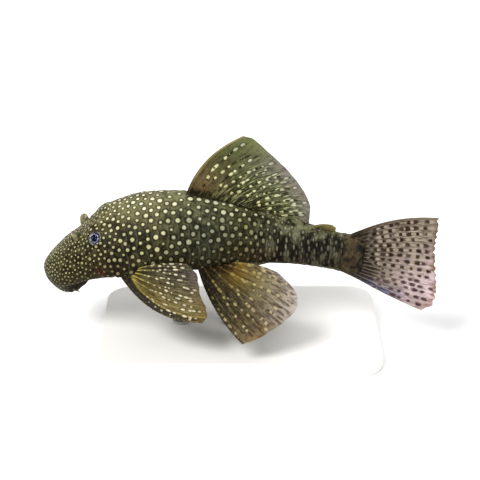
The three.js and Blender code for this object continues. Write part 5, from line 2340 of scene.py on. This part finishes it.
def pectoral_fin(body: Body, side: Side) -> Fin:
    """A pectoral fin, spread to the side and back, with a stout prickly spine.

    Args:
        body: The fish's body.
        side: The fish's side.

    Returns:
        The fin.
    """
    word = side.name.lower()
    finish = FinFinish(
        f"pectoral_membrane_{word}",
        front=(
            (0, "#2b2405"), (0.2, "#5a4d18"), (0.45, "#6e5f30"), (0.7, "#675b37"), (0.9, "#665a36"),
            (1, "#5a4722"),
        ),
        rear=((0, "#1f1b07"), (0.25, "#2d2a15"), (0.5, "#2e2a23"), (0.8, "#322e2c"), (1, "#4c4540")),
        ray="#857a50", ray_strength=0.35,
        mark=((0, "#c8be66"), (0.35, "#c6be92"), (0.7, "#c1b89c"), (1, "#ab9c7c")), mark_strength=1.0,
        gap="#120d03", gap_strength=0.6, streak_strength=0.7, streak="#171104",
        spine=((0, "#19150a"), (0.3, "#25211a"), (0.6, "#2b261e"), (0.9, "#382f1d"), (1, "#5a4a26")),
        glow="#a99d42", glow_strength=0.75, glow_reach=0.42, halo_width=2.0,
        last=((0, "#1a1504"), (0.3, "#1d190c"), (0.6, "#24201a"), (0.85, "#2c2825"), (1, "#3d3733")),
        stroke="#a3996a", stroke_strength=0.4, stripe="#94803e", stripe_strength=0.5,
    )
    return PairedFin(
        f"pectoral_fin_{word}_skin", f"pectoral_fin_{word}", 7, [(0, 0.15), (0.5, 0.03), (1, -0.06)],
        finish, (Dashes(1.3, 0.6, 2.4, start=0.12, end=0.95, skipped=0.2, drift=0.3),),
        body=body, side=side, start=(28.5, 0.62), end=(33, 0.55), sunk=1.6,
        spine_line=(0.857, 0.31, -0.41), inner_line=(0.965, 0.2, 0.05),
        tips=[
            (0, 30.3, -0.3), (0.15, 30.9, 2.0), (0.3, 29.5, 4.6), (0.5, 27.0, 6.6), (0.7, 24.6, 10.0),
            (0.85, 22.6, 12.8), (1, 18.6, 14.0),
        ],
        bow=1.5, spine_width=2.3, spine_thick=1.7, foot=1.0, rows=90, scallop=0.006,
        spine_marks=Dashes(0.9, 0.8, 2.8, start=0.1, end=0.93, unevenness=0.3), band=2.7,
        prickles=120, prickle_length=0.9, seed=25 + side.value,
    )


def pelvic_fin(body: Body, side: Side) -> Fin:
    """A pelvic fin, spread down and to the side, pale at its last rays.

    Args:
        body: The fish's body.
        side: The fish's side.

    Returns:
        The fin.
    """
    word = side.name.lower()
    finish = FinFinish(
        f"pelvic_membrane_{word}",
        front=(
            (0, "#0a0500"), (0.2, "#0f0a01"), (0.5, "#1f1907"), (0.75, "#3a311a"), (0.9, "#594c37"),
            (1, "#705b3d"),
        ),
        rear=(
            (0, "#0e0700"), (0.14, "#2e1d04"), (0.3, "#80600c"), (0.48, "#6c5f38"), (0.8, "#8b826e"),
            (1, "#a89d98"),
        ),
        ray="#7a6c3f", ray_strength=0.3,
        mark=((0, "#67521f"), (0.35, "#93844e"), (0.7, "#a5976f"), (1, "#a8977a")), mark_strength=0.75,
        gap="#0f0a02", gap_strength=0.3, streak_strength=0.7, streak="#120b02",
        spine=((0, "#110c03"), (0.4, "#1f190a"), (0.8, "#2f2817"), (1, "#40351f")),
        glow="#7f6a26", glow_strength=0.12, glow_reach=0.35, halo_width=1.8, second_mark="#33200e",
        turnover=(0.2, 0.7), stroke="#86794f", stroke_strength=0.45, stroke_reach=(0.15, 0.35, 0.75, 1.0),
    )
    marks = (
        Dashes(1.5, 1.0, 2.7, start=0.1, end=0.97, skipped=0.15, drift=0.3, widening=0.1),
        Dashes(
            2.2, 0.7, 2.4, start=0.6, end=1.0, skipped=0.05, drift=0.3, branches=(0, 1, 2, 3),
            second=True,
        ),
    )
    return PairedFin(
        f"pelvic_fin_{word}_skin", f"pelvic_fin_{word}", 6, [(0, 0.067), (0.5, 0.0), (1, -0.06)],
        finish, marks, body=body, side=side, start=(52.6, 0.66), end=(60.5, 0.78), sunk=1.4,
        spine_line=(0.54, 0.547, -0.645), inner_line=(0.99, 0.107, 0.0),
        tips=[
            (0, 27.4, -0.2), (0.17, 28.6, 5.5), (0.34, 28.5, 10.6), (0.5, 28.2, 15.0), (0.67, 26.3, 19.9),
            (0.84, 21.5, 21.9), (1, 14.5, 20.5),
        ],
        bow=1.0, spine_width=1.7, spine_thick=1.5, foot=0.8, rows=90, scallop=0.006,
        spine_marks=Dashes(1.3, 0.95, 2.9, start=0.08, end=0.97),
        prickles=60, prickle_length=0.45, seed=29 + side.value,
    )


def fins(body: Body) -> list[Fin]:
    """Every fin, the middle ones first.

    Args:
        body: The fish's body.

    Returns:
        The fins, in the order in which they are built.
    """
    made = [dorsal_fin(body), adipose_fin(body), caudal_fin(body), anal_fin(body)]
    for side in Side:
        made += [pectoral_fin(body, side), pelvic_fin(body, side)]
    return made




@dataclass(frozen=True)
class EyeFinish:
    """Wet eye: navy pupil, silvery iris with fine spokes, and a dark outer ring."""

    name: str = "eyeball"
    rings: Stops = (
        (0, "#03081a"), (0.36, "#050e2b"), (0.5, "#0c1430"), (0.55, "#40455c"), (0.6, "#989ca4"),
        (0.64, "#696c78"), (0.69, "#35364a"), (0.78, "#27263a"), (0.9, "#2a2732"), (1, "#302b2e"),
    )

    def make(self) -> bpy.types.Material:
        """Builds the material from rings by the distance from the eye's axis, and spokes.

        Returns:
            The material.
        """
        bench = Bench(self.name)
        place = bench.place()
        out, spoke = bench.attribute("out"), bench.attribute("spoke")
        grain = bench.noise(place, 2600, 3, 0.6)
        fine = bench.noise(bench.joined(spoke * 26, out * 3), 1.0, 2, 0.6)
        colour = bench.ramp(out + (grain - 0.5) * 0.05, self.rings)
        iris = out.window(0.49, 0.53, 0.66, 0.72)
        colour = bench.mix(iris * (fine - 0.4).most(0) * 1.2, colour, "#c0c2c2")
        colour = bench.mix(iris * grain.step(0.52, 0.7) * 0.4, colour, "#2c2a44")
        return bench.finish({
            "Base Color": colour, "Roughness": 0.55 - iris * 0.13, "Specular IOR Level": 0.12,
        })


@dataclass(frozen=True)
class CorneaFinish:
    """Clear wet cornea."""

    name: str = "cornea"

    def make(self) -> bpy.types.Material:
        """Builds the material: clear, with a faint film that varies its gloss.

        Returns:
            The material.
        """
        bench = Bench(self.name)
        film = bench.noise(bench.place(), 700, 2)
        return bench.finish({
            "Base Color": (1.0, 1.0, 1.0, 1.0), "Roughness": film * 0.03, "IOR": 1.13,
            "Transmission Weight": 1.0,
        })


@dataclass(frozen=True)
class MottledFinish:
    """Soft skin in two tones, mottled, with pale freckles."""

    name: str
    dark: str
    pale: str
    freckle: str
    freckles: float = 0.5
    scale: float = 500.0
    inner: Optional[str] = None
    roughness: float = 0.42

    def make(self) -> bpy.types.Material:
        """Builds the material: clouds between the tones, freckles where a finer noise peaks, and an
        inner tone where the mesh's "inner" attribute rises.

        Returns:
            The material.
        """
        bench = Bench(self.name)
        place = bench.place()
        cloud = bench.noise(place, self.scale, 3, 0.6)
        grain = bench.noise(place, self.scale * 4, 3, 0.6)
        colour = bench.mix(cloud.step(0.35, 0.65), linear(self.dark), self.pale)
        if self.inner is not None:
            colour = bench.mix(bench.attribute("inner") * 0.9, colour, self.inner)
        colour = bench.mix(grain.step(0.56, 0.68) * self.freckles, colour, self.freckle)
        colour = bench.mix(grain.step(0.42, 0.28) * 0.5, colour, self.dark)
        return bench.finish({
            "Base Color": colour, "Roughness": self.roughness + (grain - 0.5) * 0.2,
            "Normal": bench.bump(grain, 0.00005, 0.5), "Specular IOR Level": 0.25,
        })


@dataclass
class Eye:
    """An eye: a ball with a recessed pupil, a clear cornea over it and a pale ring of lid.

    The ball sits in the skin. Its pupil looks more sideways than the skin faces, and the ring of
    lid is the line on the skin that looks like a circle from where the pupil looks.
    """

    body: Body
    side: Side
    radius: float = 2.3
    sunk: float = 1.2
    gaze: float = 1.0
    gaze_rise: float = 0.42
    pupil: float = 1.26
    iris: float = 1.7
    dish: float = 0.35
    dip: float = 0.2
    cornea_gap: float = 0.04
    cornea_thick: float = 0.1
    ring_radius: float = 2.12
    ring_thick: float = 0.25
    ring_lift: float = 0.06
    ring_waves: float = 0.14
    slope_step: float = 0.01
    slope_moves: int = 8

    def _frame(self) -> tuple[np.ndarray, ...]:
        """The ball's middle, its axis turned to the side and up, and two directions across it.

        Returns:
            The middle and the three directions.
        """
        at, out, tailwards, _ = self.body.seat(EYE_STATION, EYE_TURN, self.side, -self.sunk)
        _, left, up = self.body.pose.directions(np.array(percent(EYE_STATION)))
        axis = unit(out + self.gaze * unit(self.side.value * left + self.gaze_rise * up))
        tailwards = unit(tailwards - axis * (tailwards @ axis))
        return at, axis, tailwards, np.cross(axis, tailwards)

    def _place(self, out: np.ndarray, ring: np.ndarray, spin: np.ndarray) -> np.ndarray:
        """Points from a height along the axis, a distance from it and a turn round it.

        Args:
            out: Millimetres along the axis.
            ring: Millimetres from it.
            spin: Radians round the axis.

        Returns:
            The points, (..., 3).
        """
        at, axis, tailwards, across = self._frame()
        flat = np.cos(spin)[..., None] * tailwards + np.sin(spin)[..., None] * across
        return at + axis * out[..., None] + flat * ring[..., None]

    def rim(self, spin: np.ndarray) -> tuple[np.ndarray, np.ndarray]:
        """The line on the skin that looks like a circle along the axis, and the skin's outward
        directions there.

        Each point starts at the eye's seat. It is moved along and round the body by the slopes of
        the skin, until it is seen at its place on the circle.

        Args:
            spin: Radians round the axis.

        Returns:
            The points and the directions, each (n, 3).
        """
        at, _, tailwards, across = self._frame()
        views = np.stack([tailwards, across], -1)
        target = self.ring_radius * np.stack([np.cos(spin), np.sin(spin)], -1)
        seat = [percent(EYE_STATION), self.side.value * EYE_TURN * np.pi]
        place = np.tile(seat, (len(spin), 1))
        for _ in range(self.slope_moves):
            here, *moved = (
                (self.body.skin(*(place + nudge).T) - at) @ views
                for nudge in (np.zeros(2), *self.slope_step * np.eye(2))
            )
            slopes = np.stack([(seen - here) / self.slope_step for seen in moved], -1)
            place = place + np.linalg.solve(slopes, (target - here)[..., None])[..., 0]
        points = self.body.skin(*place.T)
        return points, unit(self.body.skin(*place.T, 1.0) - points)

    def ball(self) -> Shell:
        """The ball: a sphere whose front is pressed flat at the iris and dips at the pupil.

        Returns:
            The shell.
        """
        polar = np.concatenate([np.linspace(0.01, 1.2, 60), np.linspace(1.25, np.pi - 0.02, 24)])[:, None]
        spin = ring_of(64)[None]
        ring = self.radius * np.sin(polar)
        front = polar < np.pi / 2
        dish = self.dish * (1 - smooth(ring, self.pupil * 0.94, self.iris * 1.05)) * front
        dip = self.dip * (1 - smooth(ring, self.pupil * 0.86, self.pupil * 1.02)) * front
        out = self.radius * np.cos(polar) - dish - dip
        ring, out, spin = np.broadcast_arrays(ring, out, spin)
        shell = Shell.grid(self._place(out, ring, spin), closed=True)
        share = np.broadcast_to(np.where(front, np.sin(polar), 1.0), spin.shape)
        shell.attributes["out"] = ("POINT", np.concatenate([share.ravel(), [0, 1]]))
        shell.attributes["spoke"] = ("POINT", np.concatenate([np.abs(spin / np.pi - 1).ravel(), [0, 0]]))
        return shell.outward()

    def cornea(self) -> Shell:
        """A thin clear dome over the ball's front.

        Returns:
            The shell.
        """
        polar, outer = np.linspace(0.01, 1.0, 24)[:, None], self.radius + self.cornea_gap
        faces = []
        for radius in (outer, outer - self.cornea_thick):
            out, ring, spin = np.broadcast_arrays(radius * np.cos(polar), radius * np.sin(polar), ring_of(64))
            faces.append(self._place(out, ring, spin))
        return Shell.grid(np.concatenate([faces[0], faces[1][::-1]]), closed=True).outward()

    def lid(self) -> Shell:
        """A ring of soft skin round the ball, uneven in thickness.

        Returns:
            The shell.
        """
        spin, turn = ring_of(96), ring_of(16)[None, :, None]
        middle, out = self.rim(spin)
        beside = unit(np.cross(np.roll(middle, -1, 0) - np.roll(middle, 1, 0), out))
        thick = self.ring_thick * (1 + self.ring_waves * np.sin(5 * spin) * np.sin(3 * spin + 1))
        tube = beside[:, None] * np.cos(turn) + 0.9 * out[:, None] * np.sin(turn)
        points = (middle + self.ring_lift * out)[:, None] + thick[:, None, None] * tube
        closed = np.concatenate([points, points[:1]])
        return Shell.grid(closed, closed=True, caps=False).welded().outward()

    def build(self) -> None:
        """Makes the three pieces."""
        word = self.side.name.lower()
        self.ball().piece(f"eye_{word}_ball", EyeFinish(f"eyeball_{word}").make(), "eyes", f"eye_{word}")
        self.cornea().piece(f"eye_{word}_cornea", CorneaFinish(f"cornea_{word}").make(), "eyes")
        tones = ("#211e22", "#6b6965", "#e2dcc8")
        lid = MottledFinish(f"eye_rim_{word}", *tones, 0.75, 420, roughness=0.45)
        self.lid().piece(f"eye_{word}_rim", lid.make(), "skin")


@dataclass
class Cheek:
    """The pocket of hooked spines on a cheek."""

    body: Body
    side: Side
    count: int = 22
    golden_turn: float = 2.4
    size: Span = (1.3, 0.045)
    rise: float = 0.35
    fan: float = 0.35
    length: float = 2.3
    radius: float = 0.15
    seed: int = 41

    def build(self) -> None:
        """Makes the spines, in a tight oval bunch that fans out from front to back."""
        draw = np.random.default_rng(self.seed + self.side.value)
        spin = np.arange(self.count) * self.golden_turn
        away = np.sqrt((np.arange(self.count) + 0.5) / self.count)
        stations = CHEEK_STATION + self.size[0] * away * np.cos(spin)
        turns = CHEEK_TURN + self.size[1] * away * np.sin(spin)
        seats = np.array([self.body.seat(*place, self.side, -self.rise) for place in zip(stations, turns)])
        at, out, tailwards, across = seats.transpose(1, 0, 2)
        fan = (self.fan * away * np.sin(spin))[:, None] + draw.normal(0, 0.06, (self.count, 1))
        lines = unit(tailwards + out * (0.3 + draw.random((self.count, 1)) * 0.25) + across * fan)
        length = self.length * (0.55 + 0.45 * (1 - away) + 0.2 * draw.random(self.count))
        shell = spine_shell(at, lines, out, length, np.full(self.count, self.radius))
        name = f"cheek_spines_{self.side.name.lower()}"
        finish = MottledFinish(name, "#2e150a", "#6b3a1c", "#a8794a", 0.4, 900, roughness=0.35)
        shell.piece(name, finish.make(), "skin")


def turned(first: np.ndarray, second: np.ndarray, angle: float) -> tuple[np.ndarray, np.ndarray]:
    """Two directions, turned in their plane from the first towards the second by radians."""
    cosine, sine = np.cos(angle), np.sin(angle)
    return first * cosine + second * sine, second * cosine - first * sine


@dataclass
class Nostril:
    """The flap of skin that stands between the two openings of a nostril."""

    body: Body
    side: Side
    wide: float = 2.0
    thick: float = 0.85
    tall: float = 3.0
    sunk: float = 0.8
    lean: float = 0.4
    swing: float = 0.5
    cupping: float = 0.3
    edge: float = 0.02
    pale_height: Span = (0.72, 0.13)

    def shell(self) -> Shell:
        """A leaf, leant back and swung outwards: wide at the foot, blunt at the top and hollow
        towards the snout.

        Returns:
            The shell.
        """
        at, out, tailwards, across = self.body.seat(NOSTRIL_STATION, NOSTRIL_TURN, self.side)
        out, tailwards = turned(out, tailwards, self.lean)
        tailwards, across = turned(tailwards, across, self.side.value * self.swing)
        height, spin = np.linspace(0, 1, 30)[:, None], ring_of(40)[None]
        round_top = np.sqrt(np.clip(1 - height**6, 0, 1))
        width = self.wide * (1 - 0.25 * height) * round_top + self.edge
        depth = self.thick * (1.25 - 0.4 * height) * round_top + self.edge
        beside = width * np.cos(spin)
        hollow = self.cupping * (beside / self.wide) ** 2 * (1 - 0.3 * height)
        ahead = depth * np.sin(spin) - hollow
        up = np.broadcast_to(-self.sunk + (self.tall + self.sunk) * height, beside.shape)
        points = at + out * up[..., None] + tailwards * ahead[..., None] + across * beside[..., None]
        shell = Shell.grid(points, closed=True)
        middle, spread = self.pale_height
        pale = bell(height - middle, spread) * bell(np.cos(spin) - 0.3, 0.5)
        shell.attributes["inner"] = ("POINT", np.concatenate([pale.ravel(), [0, 0]]))
        return shell.outward()

    def build(self) -> None:
        """Makes the flap."""
        word = self.side.name.lower()
        tones = ("#453d22", "#7b7152", "#b9b08a")
        finish = MottledFinish(f"nostril_skin_{word}", *tones, 0.6, 420, inner="#d3ccaa")
        self.shell().piece(f"nostril_flap_{word}", finish.make(), "skin")


@dataclass(frozen=True)
class LipFinish:
    """The lips' soft skin: dark brown outside, with the snout's spots in front, and flesh inside."""

    name: str = "lip_skin"

    def make(self) -> bpy.types.Material:
        """Builds the material; "inner" rises on the warty face and "front" on the foremost wall.

        Returns:
            The material.
        """
        bench = Bench(self.name)
        place = bench.place()
        cloud = bench.noise(place, 380, 3, 0.6)
        grain = bench.noise(place, 1500, 3, 0.6)
        front, inner = bench.attribute("front"), bench.attribute("inner")
        ground = bench.mix(cloud.step(0.35, 0.7), linear("#171003"), "#2e2612")
        ground = bench.mix(front * 0.9, ground, "#33301a")
        spots = bench.mix(cloud, linear("#85825f"), "#77744f")
        colour = with_spots(bench, ground, spots, front, front * 0.5)
        colour = bench.mix(inner * 0.9, colour, "#8a7058")
        colour = bench.mix(grain.step(0.56, 0.7) * 0.3, colour, "#6f6440")
        return bench.finish({
            "Base Color": colour, "Roughness": 0.42 + (grain - 0.5) * 0.2,
            "Normal": bench.bump(grain, 0.00005, 0.5), "Specular IOR Level": 0.18,
        })


@dataclass
class Mouth:
    """The sucker mouth: a soft disc under the snout with warty lips, teeth and two barbels.

    The profile runs from the snout over the outer wall and the warty face to the gullet, as (share
    of the disc's size behind, millimetres it hangs down, share of the size in front). Places on
    it are numbers of its rows.
    """

    body: Body
    station: float = 8.7
    level: float = -9.15
    half_length: float = 8.6
    half_width: float = 9.6
    profile: Pairs = (
        (0.76, -3.0, 0.8), (0.86, 0.2, 1.0), (0.96, 2.2, 1.0), (1.0, 3.9, 0.88), (0.97, 4.7, 0.77),
        (0.86, 5.0, 0.66), (0.66, 4.1, 0.52), (0.46, 3.6, 0.4), (0.36, 3.9, 0.31), (0.28, 3.6, 0.24),
        (0.2, 1.8, 0.18),
    )
    inner_ring: int = 8
    inner_length: float = 0.7
    inner_width: float = 1.25
    depths: Triple = (0.85, 1.0, 0.45)
    rings: int = 90
    places: int = 180
    wart_zone: Plateau = (4.2, 5.0, 8.0, 8.6)
    wart_height: float = 0.24
    warts: Span = (9.0, 34)
    fold_zone: Plateau = (2.6, 4.2, 4.8, 5.6)
    fold_height: float = 0.1
    barbel_length: float = 5.0
    barbel_sunk: float = 1.6
    barbel_radius: float = 0.7
    barbel_turn: float = 1.35
    barbel_curl: float = 0.5
    teeth_a_jaw: int = 56
    tooth_length: float = 1.25
    tooth_radius: float = 0.05
    tooth_lean: float = 0.35
    comb_ends: Span = (-0.92, 0.92)
    comb_gap: float = 0.03
    comb_bow: Span = (1.75, 0.75)
    comb_width: float = 2.5
    comb_depth: float = 2.4
    seed: int = 12

    def _depth(self, turn: np.ndarray) -> np.ndarray:
        """How deep the disc hangs at a turn: front, side and rear blended by the cosine squared.

        Args:
            turn: Radians round the disc from its rear.

        Returns:
            Shares of the profile's depths.
        """
        front, side, rear = self.depths
        rearwards = np.cos(turn)
        end = np.where(rearwards > 0, rear, front)
        return side + (end - side) * rearwards**2

    def point(self, ring: np.ndarray, turn: np.ndarray, swell: Scalar = 0.0) -> np.ndarray:
        """Points of the disc by profile number and turn, bent into the pose.

        Args:
            ring: Profile numbers.
            turn: Radians round the disc from its rear.
            swell: Millimetres that it hangs lower.

        Returns:
            The points, (..., 3).
        """
        rows = [(number, *row) for number, row in enumerate(self.profile)]
        behind, depth, front = (column(ring) for column in curves(rows))
        share = behind + (front - behind) * np.maximum(-np.cos(turn), 0)
        inner = smooth(ring, self.inner_ring - 1, self.inner_ring)
        length = 1 + (self.inner_length - 1) * inner
        width = 1 + (self.inner_width - 1) * inner
        along = percent(self.station) + self.half_length * length * share * np.cos(turn)
        side = self.half_width * width * share * np.sin(turn)
        hang = np.where(depth > 0, depth * self._depth(turn), depth) + swell
        along, side, hang = np.broadcast_arrays(along, side, hang)
        return self.body.pose.bend(np.stack([along, side, percent(self.level) - hang], -1))

    def disc(self) -> Shell:
        """The lips: the profile swept round, with warts in staggered rings that shrink outwards.

        Returns:
            The shell.
        """
        ring = np.linspace(0, len(self.profile) - 1, self.rings)[:, None]
        turn = ring_of(self.places)[None]
        rows, around = self.warts
        warts = np.maximum(np.sin(ring * rows) * np.sin(turn * around + ring * rows / 2), 0) ** 0.7
        swell = self.wart_height * warts * window(ring, *self.wart_zone)
        folds = self.fold_height * np.sin(turn * 23 + 2 * np.sin(turn * 3)) * window(ring, *self.fold_zone)
        shell = Shell.grid(self.point(ring, turn, swell + folds), closed=True)
        inner = np.broadcast_to(smooth(ring, 4.0, 5.0), (self.rings, self.places)).ravel()
        front = (smooth(-np.cos(turn), -0.15, 0.35) * (1 - smooth(ring, 3.6, 4.6))).ravel()
        shell.attributes["inner"] = ("POINT", np.concatenate([inner, [0, 1]]))
        shell.attributes["front"] = ("POINT", np.concatenate([front, [0, 0]]))
        corners = shell.corners()
        bare = np.concatenate([front, [0, 0]])[corners].mean(1) < 0.25
        spots = Spots(candidates=4000, seed=self.seed)
        spots.attach(shell, np.full(len(corners), self.station / 2), bare)
        return shell.outward()

    def barbel(self, side: Side) -> Shell:
        """A short soft cone at the disc's side, pointing outwards and back.

        Args:
            side: The fish's side.

        Returns:
            The shell.
        """
        root = self.point(np.array(3.0), np.array(side.value * self.barbel_turn))
        inner = self.point(np.array(6.0), np.array(side.value * self.barbel_turn))
        back, _, _ = self.body.pose.directions(np.array(percent(self.station)))
        line = unit(unit(root - inner) + 0.9 * back)
        part, spin = np.linspace(0, 1, 22)[:, None], ring_of(18)[None, :, None]
        beside = unit(np.cross(line, np.array([0.0, 0.0, 1.0])))
        above = np.cross(beside, line)
        radius = self.barbel_radius * (1 - 0.85 * part) * np.sqrt(np.clip(1 - part**8, 0, 1)) + 0.01
        middle = root + line * (part * self.barbel_length - self.barbel_sunk)[..., None]
        middle = middle - above * (self.barbel_curl * part**2)[..., None]
        points = middle + radius[..., None] * (np.cos(spin) * beside + np.sin(spin) * above)
        return Shell.grid(points, closed=True).outward()

    def teeth(self) -> Shell:
        """Two curved combs of fine teeth, one on each jaw, each of two halves.

        Returns:
            All teeth as one shell.
        """
        across = np.tile(np.linspace(*self.comb_ends, self.teeth_a_jaw), 2)
        jaw = np.repeat([-1.0, 1.0], self.teeth_a_jaw)
        across = across + self.comb_gap * np.sign(across)
        along = percent(self.station) + jaw * (self.comb_bow[0] - self.comb_bow[1] * across**2)
        side, lower = across * self.comb_width, np.full_like(along, percent(self.level) - self.comb_depth)
        roots = self.body.pose.bend(np.stack([along, side, lower], -1))
        ends = np.stack([along - jaw * self.tooth_lean, side, lower - self.tooth_length], -1)
        tips = self.body.pose.bend(ends)
        inward = self.body.pose.directions(np.array(percent(self.station)))[0] * -jaw[:, None]
        length, radius = (np.full(len(jaw), size) for size in (self.tooth_length, self.tooth_radius))
        return spine_shell(roots, unit(tips - roots), inward, length, radius)

    def build(self) -> None:
        """Makes the lips, the barbels and the teeth."""
        self.disc().piece("mouth_disc", LipFinish().make(), "lips", "mouth")
        skin = MottledFinish("barbel_skin", "#33291a", "#5f5036", "#8c7c54", 0.4, 600)
        for side in Side:
            self.barbel(side).piece(f"barbel_{side.name.lower()}", skin.make(), "lips")
        enamel = MottledFinish("tooth_enamel", "#a06a30", "#d9c19a", "#efe2c2", 0.3, 800, roughness=0.25)
        self.teeth().piece("teeth", enamel.make(), "lips")




def main() -> None:
    """Builds the pieces in order."""
    logging.basicConfig(level=logging.INFO, format="%(name)s: %(message)s")
    Studio().build()
    body, armour = Body(), Armour()
    Skin(body, armour).build()
    for side in Side:
        Eye(body, side).build()
        Nostril(body, side).build()
        Cheek(body, side).build()
    Mouth(body).build()
    for fin in fins(body):
        fin.build()
    Stand().dress()


if __name__ == "__main__":
    main()
